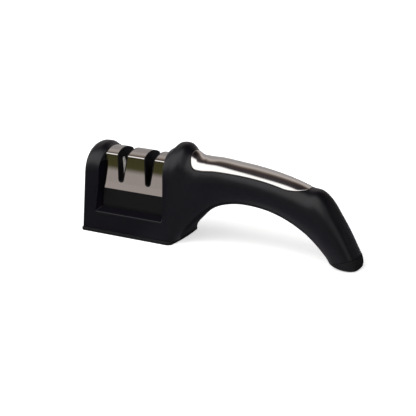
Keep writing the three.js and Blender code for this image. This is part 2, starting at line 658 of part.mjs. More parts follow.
const CARRIER_SCREWS = [BAY_START + CARRIER_SCREW_START, LEDGE_START - CARRIER_SCREW_MARGIN]
  .map((x) => [x, CARRIER_BOTTOM + CARRIER_SCREW_HEIGHT]);
const CARRIER_SEAT = CARRIER_LOWER_HALF - SCREW_HEAD_HEIGHT - GAP;

function carrierHalf(isBack) {
  const block = carrierBlock();
  const y0 = isBack ? 0 : -CUT_REACH;
  const y1 = isBack ? CUT_REACH : 0;
  let half = block.intersect(box(-CUT_REACH, CUT_REACH, y0, y1, -CUT_REACH, CUT_REACH))
    .subtract(rodGroove(isBack))
    .subtract(bladeGroove(isBack));
  for (const [x, z] of CARRIER_SCREWS) {
    const tip = -SCREW_BITE - GAP;
    half = half.subtract(cylinderAlongY(SCREW_RADIUS + GAP, x, z, isBack ? -1 : tip, isBack ? CARRIER_SEAT + 1 : 1));
    if (isBack) {
      half = half.subtract(cylinderAlongY(SCREW_HEAD_RADIUS + GAP, x, z, CARRIER_SEAT, BASE_WIDTH));
    }
  }
  return half;
}

function basePlate() {
  const counterbore = SCREW_HEAD_HEIGHT + GAP;
  return BASE_SCREWS.reduce((plate, [x, y]) => plate
    .subtract(cylinderAlongZ(SCREW_RADIUS + GAP, x, y, 0, PLATE_TOP + 1))
    .subtract(cylinderAlongZ(SCREW_HEAD_RADIUS + GAP, x, y, 0, RIM_HEIGHT + counterbore)),
  slab(RIM + GAP, RIM_HEIGHT, PLATE_TOP));
}

// Rubber sole with a rounded lip that stands a little out of the housing all round
function baseSole() {
  const bevel = { bevelEnabled: true, bevelSize: SOLE_ROUND, bevelThickness: SOLE_ROUND, bevelSegments: 3 };
  const depth = SOLE_THICKNESS - 2 * SOLE_ROUND;
  return new THREE.ExtrudeGeometry(footprint(SOLE_ROUND - SOLE_LIP), { depth, curveSegments: 6, ...bevel })
    .translate(0, 0, SOLE_ROUND);
}

// Rubber foot: from the tail's end plane it bulges out, then turns in to a flat pad on the ground
function tailFoot() {
  const count = 40;
  const rim = shifted(ringOf(tailSection, count, -FOOT_LIP), GAP);
  const middle = middleOf(rim);
  const pad = rim.map((point) => {
    const reach = Math.hypot(point.x - middle.x, point.y);
    const keep = 1 - FOOT_PAD_INSET / reach;
    return new THREE.Vector3(middle.x + FOOT_PAD_SHIFT + (point.x - middle.x) * keep, point.y * keep, 0);
  });
  const rings = [0, 0.25, 0.5, 0.75, 1].map((share) => {
    const fall = 1 - Math.cos((share * Math.PI) / 2);
    const drop = Math.sin((share * Math.PI) / 2);
    return rim.map((point, step) => {
      const end = pad[step];
      const bulge = 1 + FOOT_SWELL * Math.sin(share * Math.PI);
      const x = THREE.MathUtils.lerp(point.x, end.x, fall);
      const y = THREE.MathUtils.lerp(point.y, end.y, fall);
      const z = THREE.MathUtils.lerp(point.z, 0, drop);
      return new THREE.Vector3(middle.x + (x - middle.x) * bulge, y * bulge, z);
    });
  });
  const before = ringOf(sectionAt(1 - 1 / (KEYS.length - 1)), HOLLOW_COUNT, SHELL + GAP);
  const plugRing = ringOf(tailSection, HOLLOW_COUNT, SHELL + GAP);
  const share = FOOT_PLUG / middleOf(before).distanceTo(middleOf(plugRing));
  const plugTop = plugRing.map((point, step) => point.clone().lerp(before[step], share));
  return loft(rings).add(loft([plugTop, plugRing, shifted(plugRing, 2 * GAP)]));
}

function handleInlay() {
  const leaf = leafPlate(INLAY_PROUD - INLAY_SHEET, INLAY_PROUD, 0);
  return tongueX.reduce((body, x) => body.add(tongue(x, 0)), leaf);
}

// Assembly
const sharpener = new THREE.Group();

function place(name, shape, material) {
  const mesh = new THREE.Mesh(shape.isBufferGeometry ? shape : geometryOf(shape), material);
  mesh.name = name;
  sharpener.add(mesh);
  return mesh;
}

const [housingFront, housingBack] = housingHalves();
place('housing_front', housingFront, blackPlastic());
place('housing_back', housingBack, blackPlastic());
place('base_plate', basePlate(), blackPlastic());
place('base_sole', baseSole(), blackRubber());
place('tail_foot', tailFoot(), blackRubber());
place('handle_inlay', handleInlay(), polishedSteel());
place('steel_cover', steelCover(), brushedSteel());
for (const [side, isBack] of [['front', false], ['back', true]]) {
  place(`carrier_${side}`, carrierHalf(isBack), blackPlastic());
  place(`ceramic_rod_${side}`, ceramicRod(isBack), whiteCeramic());
  place(`carbide_blade_${side}`, carbideBlade(isBack), greyCarbide());
}
CARRIER_SCREWS.forEach(([x, z], index) => {
  const mesh = place(`carrier_screw_${index + 1}`, screw(CARRIER_SEAT + SCREW_BITE), zincScrew());
  mesh.rotation.x = -Math.PI / 2;
  mesh.position.set(x, CARRIER_SEAT + GAP / 2, z);
});
HOUSING_SCREWS.forEach((spot, index) => {
  const seat = screwSeat(spot);
  const mesh = place(`housing_screw_${index + 1}`, screw(seat + SCREW_BITE), zincScrew());
  mesh.rotation.x = -Math.PI / 2;
  mesh.position.set(spot[0], seat + GAP / 2, spot[1]);
});
BASE_SCREWS.forEach(([x, y], index) => {
  const seat = RIM_HEIGHT + SCREW_HEAD_HEIGHT + GAP;
  const mesh = place(`base_screw_${index + 1}`, screw(BASE_SCREW_TIP - seat), zincScrew());
  mesh.rotation.x = Math.PI;
  mesh.position.set(x, y, seat - GAP / 2);
});

// Origin on the ground, in the middle of the length
const extent = new THREE.Box3().setFromObject(sharpener, true);
sharpener.position.x = -(extent.min.x + extent.max.x) / 2;

export default sharpener;
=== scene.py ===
"""Looks of a hand-held knife sharpener.

Its pieces are moulded half shells, a slotted steel cover, a polished leaf and rubber feet. Lengths in the
shape formulas are millimetres, with x along the sharpener from 0 at the head's end wall, y across it and z up
from the ground. Meshes are put into the frame in metres.
"""

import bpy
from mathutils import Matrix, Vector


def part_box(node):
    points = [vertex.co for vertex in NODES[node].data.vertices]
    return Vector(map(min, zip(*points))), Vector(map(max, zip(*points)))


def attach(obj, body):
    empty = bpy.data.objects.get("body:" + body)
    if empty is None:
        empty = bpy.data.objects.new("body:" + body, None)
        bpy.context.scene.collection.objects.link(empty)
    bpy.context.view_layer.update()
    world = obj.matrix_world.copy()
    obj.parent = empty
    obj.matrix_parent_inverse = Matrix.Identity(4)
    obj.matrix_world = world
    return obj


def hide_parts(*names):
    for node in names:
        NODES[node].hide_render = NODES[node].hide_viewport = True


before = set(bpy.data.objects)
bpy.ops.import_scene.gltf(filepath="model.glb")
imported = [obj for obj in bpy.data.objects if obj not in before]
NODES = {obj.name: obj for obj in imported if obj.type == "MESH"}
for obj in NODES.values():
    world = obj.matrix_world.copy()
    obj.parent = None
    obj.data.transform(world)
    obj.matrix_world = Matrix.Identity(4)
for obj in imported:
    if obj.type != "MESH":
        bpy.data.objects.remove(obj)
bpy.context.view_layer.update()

import math

import bmesh
import bpy
import numpy as np
from bpy.props import FloatProperty, FloatVectorProperty, PointerProperty
from mathutils import Vector

bl_info = {
    "name": "Knife sharpener",
    "version": (1, 0, 0),
    "blender": (4, 5, 0),
    "location": "View3D > Sidebar > Sharpener",
    "description": "Dresses the packed knife sharpener in its moulded, steel and rubber surfaces",
    "category": "Add Mesh",
}

MM = 0.001

# Head and cartridge, in millimetres
SOLE_TOP = 2.4
BAY_START = 13.3
BAY_END = 60.8
SPRING = 42.0
RAIL_INSIDE = 16.2
COVER_FOLD = 55.0
COVER_FOLD_HALF = 10.0
COVER_LEAN = 0.17
COVER_CROWN = 3.0
COVER_BOTTOM = 31.5
COVER_GAP = 0.3
FINE_SLOT = 26.55
COARSE_SLOT = 47.55
SLOT_FLOOR = 36.5
SLOT_LOW = 2.35
SLOT_HIGH = 4.2
END_TOP_ROUND = 6.0
END_SIDE_ROUND = 2.0
BASE_FLARE = 2.0
WALL_HALF = 18.0
GRIP_HALF = 13.1
LEAF_START = 77.4
LEAF_LENGTH = 84.2
LEAF_HALF = 11.2
LEAF_PROUD = 0.25
LEAF_SHEET = 1.2
LEAF_BLUNT = 6.0
LEAF_TIP = 16.0
LEAF_TAPER = 0.1
LEAF_LEAST = 0.5
LEAF_GAP = 0.3
POCKET_TOP = 4.0
END_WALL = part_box("steel_cover")[0].x - (BAY_START + COVER_GAP) * MM
ORIGIN = np.array([END_WALL / MM, 0, 0])

# Lines of the housing
NECK = 66.8
NECK_RUN = 30.0
GRIP_LENGTH = 94.0
TAIL_REACH = 35.25
TAIL_END = NECK + GRIP_LENGTH + TAIL_REACH
WALL_TOP = 60.2
HUMP_TOP = 67.05
GRIP_TOP = 60.0
GRIP_DROP = 10.5
GRIP_ARCH = 31.6
HEAD_FLOOR = -3.6
FOOT_TOE = 3.4
FOOT_HEEL = 8.8
END_DRAFT = 1.7
LEAN_RUN = 8.5


def wall_key(x, top, round_top):
    return x, HEAD_FLOOR, x, top, WALL_HALF, (SPRING - HEAD_FLOOR) / (top - HEAD_FLOOR), round_top, 16.0


def neck_key(share, under, top, half, spring, round_top, round_bottom):
    """A section of the neck at a share of its run, with its underside as a share of the arch's height."""
    x = NECK + NECK_RUN * share
    width = GRIP_HALF + (WALL_HALF - GRIP_HALF) * half
    return x, GRIP_ARCH * under, x, top, width, spring, round_top, round_bottom


def hump(share):
    return GRIP_TOP + (HUMP_TOP - GRIP_TOP) * share


def grip_key(share, under, half):
    x = NECK + GRIP_LENGTH * share
    return x, GRIP_ARCH * under, x, GRIP_TOP - GRIP_DROP * share ** 2.9, GRIP_HALF * half, 0.48, 2.25, 2.4


def tail_key(low, under, high, over, half, round_top):
    """A leaning section of the tail: places as shares back from its end, heights as shares up from its
    foot."""
    bottom = FOOT_TOE + (GRIP_ARCH * 0.598 - FOOT_TOE) * under
    top = FOOT_HEEL + (GRIP_TOP - GRIP_DROP - FOOT_HEEL) * over
    return (TAIL_END - TAIL_REACH * low, bottom, TAIL_END - TAIL_REACH * high, top, GRIP_HALF * half, 0.48,
            round_top, 2.4)


# Key sections of the housing: lowest point x and z, highest point x and z, half width, share of the height at
# which the sides spring, roundness above and below that line.
KEYS = np.array([
    wall_key(END_TOP_ROUND, WALL_TOP, 2.14),
    wall_key(BAY_START - 4.0, WALL_TOP, 2.14),
    wall_key(BAY_START, WALL_TOP - 2.0, 2.14),
    wall_key(BAY_END, COVER_FOLD + COVER_CROWN + 4.4, 2.29),
    neck_key(0.0, HEAD_FLOOR / GRIP_ARCH, HUMP_TOP, 0.93, 0.66, 1.95, 9.0),
    neck_key(0.167, 0.152, HUMP_TOP, 0.66, 0.62, 2.25, 5.0),
    neck_key(0.333, 0.347, hump(0.473), 0.36, 0.58, 2.05, 3.6),
    neck_key(0.5, 0.517, hump(0.077), 0.16, 0.55, 2.1, 3.3),
    neck_key(0.7, 0.702, GRIP_TOP, 0.0, 0.52, 2.2, 3.1),
    neck_key(1.0, 0.881, GRIP_TOP, -0.04, 0.5, 2.25, 2.8),
    grip_key(0.46, 0.988, 1.0),
    grip_key(0.6, 1.0, 1.008),
    grip_key(0.74, 0.942, 1.015),
    grip_key(0.88, 0.798, 1.008),
    grip_key(1.0, 0.598, 1.0),
    tail_key(0.851, 0.723, 0.786, 0.974, 1.0, 2.25),
    tail_key(0.738, 0.487, 0.604, 0.851, 0.985, 2.3),
    tail_key(0.644, 0.278, 0.423, 0.626, 0.97, 2.35),
    tail_key(0.582, 0.129, 0.233, 0.367, 0.947, 2.4),
    tail_key(0.542, 0.0, 0.0, 0.0, 0.916, 2.4),
])
HOUSING_SCREWS = ("housing_screw_1", "housing_screw_2", "housing_screw_3")
HIDDEN_SCREWS = (
    "carrier_screw_1", "carrier_screw_2", "base_screw_1", "base_screw_2", "base_screw_3", "base_screw_4")
SCREW_HEAD = 2.6
SCREW_FLANGE = 0.6
SCREW_DOME = 1.1
SCREW_HEIGHT = SCREW_FLANGE + SCREW_DOME
SCREW_SHANK = 1.3
SCREW_TIP = 0.65
SCREW_TAPER = 1.5
CROSS_REACH = 1.1
CROSS_HALF = 0.3
CROSS_DEPTH = 1.2
SINK_RADIUS = 2.9
SINK_LENGTH = 40.0

# Base, foot and rods, in millimetres
SOLE_HALF = 20.0
SOLE_CORNER = 2.0
SOLE_END = 68.4
SOLE_NECK_CORNER = 4.2
SOLE_BOW = 1.6
SOLE_MIDDLE = 34.0
SOLE_LIP = 0.8
LEAST_CORNER = 1.0
FOOT_PROUD = 0.21
FOOT_GAP = 0.3
FOOT_BULGE = 0.13
PAD_SHIFT = 3.8
PAD_INSET = 4.2
PLUG_INSET = 3.1
PLUG_LENGTH = 6.0
ROD_LEAN = math.radians(16)
ROD_RADIUS = 2.25
ROD_HALF = 12.0
ROD_EDGE = 0.35


def length_setting(name, description, default):
    return FloatProperty(name=name, description=description, default=default, unit="LENGTH", precision=5)


def colour_setting(name, description, *default):
    return FloatVectorProperty(
        name=name, description=description, subtype="COLOR", size=3, default=default, min=0, max=1)


class SharpenerSizes(bpy.types.PropertyGroup):
    """Sizes that a user would change."""

    edge_round: length_setting("Window edge", "Rounding of the window's edges", 0.00045)
    parting_round: length_setting("Parting edge", "Rounding where the half shells meet", 0.00012)
    shell: length_setting("Shell", "Wall of the moulded half shells", 0.0022)
    fold_radius: length_setting("Fold", "Outside radius of the cover's folds", 0.0014)
    cover_sheet: length_setting("Cover sheet", "Thickness of the steel cover", 0.0006)
    grain: length_setting("Grain", "Size of the moulded grain on the plastic", 0.00038)


class SharpenerColours(bpy.types.PropertyGroup):
    """Colours that a user would change."""

    plastic: colour_setting("Plastic", "Moulded half shells", 0.0036, 0.003, 0.0054)
    inner: colour_setting("Inner plastic", "Carrier and base plate", 0.0038, 0.0035, 0.0042)
    rubber: colour_setting("Rubber", "Sole and tail foot", 0.0058, 0.0055, 0.0066)
    steel: colour_setting("Cover steel", "Finely brushed cover", 0.55, 0.52, 0.5)
    polished: colour_setting("Polished steel", "Leaf on the grip", 0.72, 0.69, 0.67)
    ceramic: colour_setting("Ceramic", "Fine rods", 0.8, 0.78, 0.73)
    carbide: colour_setting("Carbide", "Coarse blades", 0.14, 0.135, 0.13)
    zinc: colour_setting("Zinc", "Screws", 0.42, 0.42, 0.41)
    floor: colour_setting("Floor", "Pale floor", 0.92, 0.92, 0.92)


def sizes():
    return bpy.context.scene.sharpener_sizes


def colours():
    return bpy.context.scene.sharpener_colours


# Shader maths

class Value:
    """A node's output, on which Python's operators add Math nodes."""

    def __init__(self, tree, socket):
        self.tree = tree
        self.socket = socket

    def maths(self, operation, *values):
        return node(self.tree, "ShaderNodeMath", {"operation": operation}, dict(enumerate(values)))

    def __add__(self, other):
        return self.maths("ADD", self, other)

    def __sub__(self, other):
        return self.maths("SUBTRACT", self, other)

    def __rsub__(self, other):
        return self.maths("SUBTRACT", other, self)

    def __mul__(self, other):
        return self.maths("MULTIPLY", self, other)

    __radd__ = __add__
    __rmul__ = __mul__


def node(tree, kind, settings=None, inputs=None, output=0):
    """One node of any type: its settings first, then the values or links of its sockets."""
    made = tree.nodes.new(kind)
    for key, value in (settings or {}).items():
        if key == "stops":
            ramp = made.color_ramp
            while len(ramp.elements) < len(value):
                ramp.elements.new(0.5)
            for stop, (place, colour) in zip(ramp.elements, value):
                stop.position = place
                stop.color = colour
        else:
            setattr(made, key, value)
    for key, value in (inputs or {}).items():
        if isinstance(value, Value):
            tree.links.new(value.socket, made.inputs[key])
        else:
            made.inputs[key].default_value = value
    return Value(tree, made.outputs[output]) if made.outputs else None


def new_material(name):
    """An empty node material and the tree that its shader goes into."""
    material = bpy.data.materials.new(name)
    material.use_nodes = True
    material.node_tree.nodes.clear()
    return material, material.node_tree


def finish_material(tree, constants, links):
    """The surface shader: constants are set on its sockets, and links feed what changes over the
    surface."""
    surface = node(tree, "ShaderNodeBsdfPrincipled", None, {**constants, **links})
    node(tree, "ShaderNodeOutputMaterial", None, {0: surface})


def place_on(tree, stretch=(1, 1, 1)):
    """Object coordinates in metres, stretched along the axes."""
    spot = node(tree, "ShaderNodeTexCoord", output="Object")
    return node(tree, "ShaderNodeMapping", None, {"Vector": spot, "Scale": stretch})


def noise(tree, spot, per_metre, detail=2.0, roughness=0.5):
    return node(tree, "ShaderNodeTexNoise", None, {
        "Vector": spot, "Scale": per_metre, "Detail": detail, "Roughness": roughness}, "Fac")


def blend(tree, share, first, second):
    """Colour that goes from the first to the second as share goes from 0 to 1."""
    made = tree.nodes.new("ShaderNodeMix")
    made.data_type = "RGBA"
    tree.links.new(share.socket, made.inputs["Factor"])
    for socket, colour in ((made.inputs[6], first), (made.inputs[7], second)):
        if isinstance(colour, Value):
            tree.links.new(colour.socket, socket)
        else:
            socket.default_value = (*colour, 1)
    return Value(tree, made.outputs[2])


def scaled(colour, factor):
    return tuple(min(1.0, part * factor) for part in colour)


def bump(tree, height, strength, distance):
    return node(tree, "ShaderNodeBump", None, {"Strength": strength, "Distance": distance, "Height": height})


def plastic_material(name, colour, roughness, grain, specular):
    """Moulded plastic: a fine grain, a slower drift of the gloss, and a faint drift of the colour."""
    material, tree = new_material(name)
    spot = place_on(tree)
    fine = noise(tree, spot, 1 / grain, 3.0, 0.6)
    slow = noise(tree, spot, 45.0, 2.0)
    share = slow * 0.7 + fine * 0.3
    finish_material(tree, {"Specular IOR Level": specular, "IOR": 1.5}, {
        "Base Color": blend(tree, share, scaled(colour, 0.75), scaled(colour, 1.25)),
        "Roughness": slow * 0.09 + fine * 0.07 + (roughness - 0.08),
        "Normal": bump(tree, fine, 0.22, 0.00004),
    })
    return material


def rubber_material(name, colour):
    """Dull rubber with a fine open grain and a little grey dust."""
    material, tree = new_material(name)
    spot = place_on(tree)
    fine = noise(tree, spot, 2400.0, 4.0, 0.65)
    dust = noise(tree, spot, 130.0, 4.0, 0.7)
    finish_material(tree, {"Specular IOR Level": 0.25}, {
        "Base Color": blend(tree, dust, scaled(colour, 0.7), scaled(colour, 1.7)),
        "Roughness": fine * 0.16 + 0.62,
        "Normal": bump(tree, fine, 0.35, 0.00005),
    })
    return material


def brushed_material(name, colour, roughness, streaks, depth):
    """Brushed metal: streaks that are long one way and fine across, in the gloss, the colour and the
    relief."""
    material, tree = new_material(name)
    lines = noise(tree, place_on(tree, streaks), 1.0, 4.0, 0.65)
    smudge = noise(tree, place_on(tree), 70.0, 3.0, 0.55)
    finish_material(tree, {"Metallic": 1.0}, {
        "Base Color": blend(tree, lines, scaled(colour, 0.86), scaled(colour, 1.14)),
        "Roughness": lines * (0.6 * roughness) + smudge * (0.5 * roughness) + 0.45 * roughness,
        "Normal": bump(tree, lines, 0.12, depth),
    })
    return material


def ceramic_material(name, colour):
    """Ground ceramic: dull white with a fine grit and grey traces of steel."""
    material, tree = new_material(name)
    spot = place_on(tree)
    grit = noise(tree, spot, 5000.0, 3.0, 0.6)
    trace = noise(tree, place_on(tree, (500.0, 500.0, 90.0)), 1.0, 3.0, 0.6)
    finish_material(tree, {"Specular IOR Level": 0.4}, {
        "Base Color": blend(tree, trace, scaled(colour, 0.82), scaled(colour, 1.08)),
        "Roughness": grit * 0.2 + 0.35,
        "Normal": bump(tree, grit, 0.2, 0.00002),
    })
    return material


# Meshes

class Patches:
    """Grids of points in millimetres, gathered into one mesh whose shared edges are joined."""

    def __init__(self, flip=False):
        self.flip = flip
        self.points = []
        self.faces = []
        self.count = 0

    def grid(self, points, flip=False, closed=False, split=False):
        """Quads between the rows and columns of points, which face outwards where the columns run along
        x and the rows run up the front. closed joins the last column to the first, split cuts quads in
        two."""
        rows, columns = points.shape[:2]
        index = self.count + np.arange(rows * columns).reshape(rows, columns)
        if closed:
            index = np.concatenate([index, index[:, :1]], axis=1)
        corner = [index[:-1, :-1], index[:-1, 1:], index[1:, 1:], index[1:, :-1]]
        quads = np.stack(corner, axis=-1).reshape(-1, 4)
        if flip != self.flip:
            quads = quads[:, ::-1]
        if split:
            start = 0 if flip == self.flip else 1
            turned = np.roll(quads, -start, axis=1)
            quads = np.concatenate([turned[:, [0, 1, 2]], turned[:, [0, 2, 3]]])
        self.points.append(points.reshape(-1, 3))
        self.faces.extend(quads.tolist())
        self.count += rows * columns

    def mesh(self, name, mirrored=False):
        points = np.concatenate(self.points)
        if mirrored:
            points = points * (1, -1, 1)
        place = points * MM + (END_WALL, 0, 0)
        data = bpy.data.meshes.new(name)
        data.from_pydata(place.tolist(), [], self.faces)
        work = bmesh.new()
        work.from_mesh(data)
        bmesh.ops.remove_doubles(work, verts=work.verts, dist=2e-6)
        bmesh.ops.dissolve_degenerate(work, edges=work.edges, dist=1e-7)
        work.to_mesh(data)
        work.free()
        return data


def grid_mesh(name, points, **settings):
    """A mesh of one grid of points."""
    patch = Patches()
    patch.grid(points, **settings)
    return patch.mesh(name)


def gathered(items, name, width=1, kind=float):
    """One property of all of a mesh's items, in rows where it is wider than one number."""
    values = np.empty(width * len(items), kind)
    items.foreach_get(name, values)
    return values.reshape(-1, width) if width > 1 else values


def add_piece(name, data, material, slot, *nodes, angle=40.0):
    """A finished piece: smooth but for edges sharper than the angle, on the body and in place of its
    nodes."""
    data.shade_smooth()
    data.set_sharp_from_angle(angle=math.radians(angle))
    data.materials.clear()
    data.materials.append(material)
    piece = bpy.data.objects.new(name, data)
    bpy.context.scene.collection.objects.link(piece)
    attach(piece, "root")
    if nodes:
        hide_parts(*nodes)
    return piece


def worked(data, *modifiers, wall=None):
    """The mesh after some modifiers, each given as its type and settings. The wall's shares, one for
    each vertex, go into a vertex group of that name."""
    carrier = bpy.data.objects.new("work", data)
    bpy.context.scene.collection.objects.link(carrier)
    if wall is not None:
        group = carrier.vertex_groups.new(name="wall")
        for share in np.unique(wall):
            group.add(np.nonzero(wall == share)[0].tolist(), float(share), "REPLACE")
    for kind, settings in modifiers:
        made = carrier.modifiers.new(kind, kind)
        for key, value in settings.items():
            setattr(made, key, value)
    shown = carrier.evaluated_get(bpy.context.evaluated_depsgraph_get())
    result = bpy.data.meshes.new_from_object(shown)
    bpy.data.objects.remove(carrier)
    return result


def weigh_edges(data, weight_at, angle=28.0):
    """Bevel weights for edges sharper than the angle, from a function of an edge's middle and length.
    The angle of an edge comes from the normals of its two faces."""
    loops = gathered(data.loops, "edge_index", 1, int)
    totals = gathered(data.polygons, "loop_total", 1, int)
    normals = np.repeat(gathered(data.polygons, "normal", 3), totals, axis=0)
    order = np.argsort(loops, kind="stable")
    ranked = loops[order]
    first = np.minimum(np.searchsorted(ranked, np.arange(len(data.edges))), len(ranked) - 1)
    second = np.minimum(first + 1, len(ranked) - 1)
    paired = np.bincount(loops, minlength=len(data.edges)) == 2
    cosine = np.sum(normals[order[first]] * normals[order[second]], axis=1)
    pairs = gathered(data.vertices, "co", 3)[gathered(data.edges, "vertices", 2, int)]
    length = np.linalg.norm(pairs[:, 1] - pairs[:, 0], axis=1)
    weight = weight_at(pairs.mean(axis=1), length)
    weight = np.where(paired & (cosine < math.cos(math.radians(angle))), weight, 0.0)
    if "bevel_weight_edge" in data.attributes:
        data.attributes.remove(data.attributes["bevel_weight_edge"])
    data.attributes.new("bevel_weight_edge", "FLOAT", "EDGE").data.foreach_set("value", weight)


# The housing's skin

def curve_at(points, place):
    """Point on a curve through the key points, from 0 at the first to n - 1 at the last. Each span is a
    cubic whose end slopes come from its neighbours, spaced by the square roots of their distances."""
    points = np.asarray(points, float)
    spare = np.vstack([2 * points[0] - points[1], points, 2 * points[-1] - points[-2]])
    span = np.clip(np.floor(place).astype(int), 0, len(points) - 2)
    share = (place - span)[..., None]
    p0, p1, p2, p3 = (spare[span + step] for step in range(4))
    gaps = (p1 - p0, p2 - p1, p3 - p2)
    d0, d1, d2 = (np.sqrt(np.linalg.norm(gap, axis=-1, keepdims=True)) for gap in gaps)
    d1 = np.where(d1 < 1e-4, 1.0, d1)
    d0 = np.where(d0 < 1e-4, d1, d0)
    d2 = np.where(d2 < 1e-4, d1, d2)
    t1 = ((p1 - p0) / d0 - (p2 - p0) / (d0 + d1) + (p2 - p1) / d1) * d1
    t2 = ((p2 - p1) / d1 - (p3 - p1) / (d1 + d2) + (p3 - p2) / d2) * d1
    return (p1 + t1 * share + (3 * (p2 - p1) - 2 * t1 - t2) * share ** 2
            + (2 * (p1 - p2) + t1 + t2) * share ** 3)


PLACES = np.linspace(0, len(KEYS) - 1, 4001)
PLACE_X = curve_at(KEYS[:, 0:2], PLACES)[:, 0]


def smoothstep(value):
    value = np.clip(value, 0, 1)
    return value * value * (3 - 2 * value)


def drawn_in(radius, x):
    """How far a quarter round at the head's end draws the skin in at a distance from the end."""
    rest = np.clip(radius - x, 0, radius)
    return radius - np.sqrt(radius ** 2 - rest ** 2)


def section(x):
    """The housing's section whose lowest point has this x: that point, the way up, the heights below and
    above the spring line, the half width, the flare and the two roundnesses."""
    place = np.interp(x, PLACE_X, PLACES)
    bottom = curve_at(KEYS[:, 0:2], place)
    top = curve_at(KEYS[:, 2:4], place)
    form = curve_at(KEYS[:, [4, 6, 7]], place)
    spring = np.interp(place, np.arange(len(KEYS)), KEYS[:, 5])
    at_end = x < END_TOP_ROUND
    bottom[..., 0] = np.where(at_end, x, bottom[..., 0])
    top[..., 0] = np.where(at_end, x, top[..., 0])
    top[..., 1] -= 0.9 * drawn_in(END_TOP_ROUND, x)
    half = form[..., 0] - drawn_in(END_SIDE_ROUND, x)
    flare = BASE_FLARE * smoothstep((form[..., 0] - GRIP_HALF) / (WALL_HALF - GRIP_HALF))
    span = top - bottom
    height = np.linalg.norm(span, axis=-1)
    up = span / height[..., None]
    return bottom, up, height * spring, height * (1 - spring), half, flare, form[..., 1], form[..., 2]


def skin(x, turn, inset=0.0):
    """Point of the housing's front side: a superellipse in polar form about the spring line, at a turn
    from -90 degrees at the lowest point to 90 at the highest. Below the line the sides flare outwards,
    and the end wall leans out."""
    bottom, up, below, above, half, flare, round_top, round_bottom = section(x)
    power = np.where(turn > 0, round_top, round_bottom)
    across, rise = np.cos(turn), np.sin(turn)
    reach = (np.abs(across) ** power + np.abs(rise) ** power) ** (-1 / power)
    lift = rise * reach * np.where(turn > 0, above - inset, below - inset)
    spread = half - inset + flare * np.clip(-rise * reach, 0, 1)
    middle = bottom + up * below[..., None] + up * lift[..., None]
    lean = np.clip(1 - middle[..., 0] / LEAN_RUN, 0, 1)
    lean = lean * np.clip((SPRING - middle[..., 1]) / (SPRING - SOLE_TOP), 0, 1)
    return np.stack([middle[..., 0] - END_DRAFT * lean, -across * reach * spread, middle[..., 1]], axis=-1)


def turn_at(x, z):
    """The turn at which an upright section is at height z."""
    bottom, _, below, above, _, _, round_top, round_bottom = section(x)
    rise = z - bottom[..., 1] - below
    power = np.where(rise > 0, round_top, round_bottom)
    share = np.clip(np.abs(rise) / np.where(rise > 0, above, below), 0, 1)
    return np.sign(rise) * np.arctan2(share, (1 - share ** power) ** (1 / power))


def cover_half(z):
    return COVER_FOLD_HALF + COVER_LEAN * (COVER_FOLD - z)


WALL_BEVEL = 1.4
WALL_BEVEL_TURN = 36.0
WALL_BEVEL_RISE = 21.8
WALL_BEVEL_SPREAD = 3.15
WALL_BEVEL_FALL = 21.0
NECK_BEVEL = 0.8
NECK_BEVEL_TURN = 30.0
NECK_BEVEL_RISE = 27.0


def bevel_arch(z, width, turn, rise):
    """A bevel's width at a height: even up to the turn, then an ellipse that ends at the rise above it."""
    return width * np.sqrt(np.clip(1 - (np.clip(z - turn, 0, None) / rise) ** 2, 0, 1))


def left_bevel(z):
    """Width of the window's bevel on the end wall's side: it widens downwards, and ends at the crest."""
    upper = bevel_arch(z, WALL_BEVEL, WALL_BEVEL_TURN, WALL_BEVEL_RISE)
    return upper + WALL_BEVEL_SPREAD * (np.clip(WALL_BEVEL_TURN - z, 0, None) / WALL_BEVEL_FALL) ** 1.2


def right_bevel(z):
    return bevel_arch(z, NECK_BEVEL, NECK_BEVEL_TURN, NECK_BEVEL_RISE)


WALL_PROBE = 11.0
NECK_PROBE = 61.2
EVEN_START = 61.9
EVEN_RUN = 7.0
NECK_SPLIT = 64.0
RAIL_EDGE = 15.04
RAIL_CREST = 18.83
RAIL_ROWS = 9
BEVEL_STEPS = 2
SIDE_ROWS = 14
ARCH_ROWS = 30
HEAD_HEIGHTS = np.concatenate([
    np.linspace(SOLE_TOP, RAIL_EDGE, RAIL_ROWS),
    np.linspace(RAIL_EDGE, RAIL_CREST, BEVEL_STEPS + 1)[1:],
    np.linspace(RAIL_CREST, SPRING, SIDE_ROWS)[1:],
])
LOWER_COUNT = len(HEAD_HEIGHTS)
ROWS = LOWER_COUNT + ARCH_ROWS
EDGE_ROW = RAIL_ROWS - 1
CREST_ROW = EDGE_ROW + BEVEL_STEPS


def row_turns(x):
    """The turn of every row at distances x, one row of x for each row: by height on the head, up to the
    spring line, and spread evenly round the section beyond the neck, down to the sole."""
    low_x = x[:LOWER_COUNT]
    bottom, _, below, *_ = section(low_x)
    stretch = (bottom[..., 1] + below - RAIL_CREST) / (SPRING - RAIL_CREST)
    height = HEAD_HEIGHTS[:, None]
    height = np.where(height > RAIL_CREST, RAIL_CREST + (height - RAIL_CREST) * stretch, height)
    start = turn_at(low_x, np.full_like(low_x, SOLE_TOP))
    even = np.maximum(start, np.linspace(-math.pi / 2, 0, LOWER_COUNT)[:, None])
    even[0] = start[0]
    share = smoothstep((low_x - EVEN_START) / EVEN_RUN)
    lower = turn_at(low_x, height) * (1 - share) + even * share
    upper = np.linspace(0, math.pi / 2, ARCH_ROWS + 1)[1:, None] + 0 * x[LOWER_COUNT:]
    return np.concatenate([lower, upper])


def side_heights(x):
    """The height of each row on the head's end wall or neck at distance x."""
    spots = np.full((ROWS, 1), float(x))
    return skin(spots, row_turns(spots))[:, 0, 2]


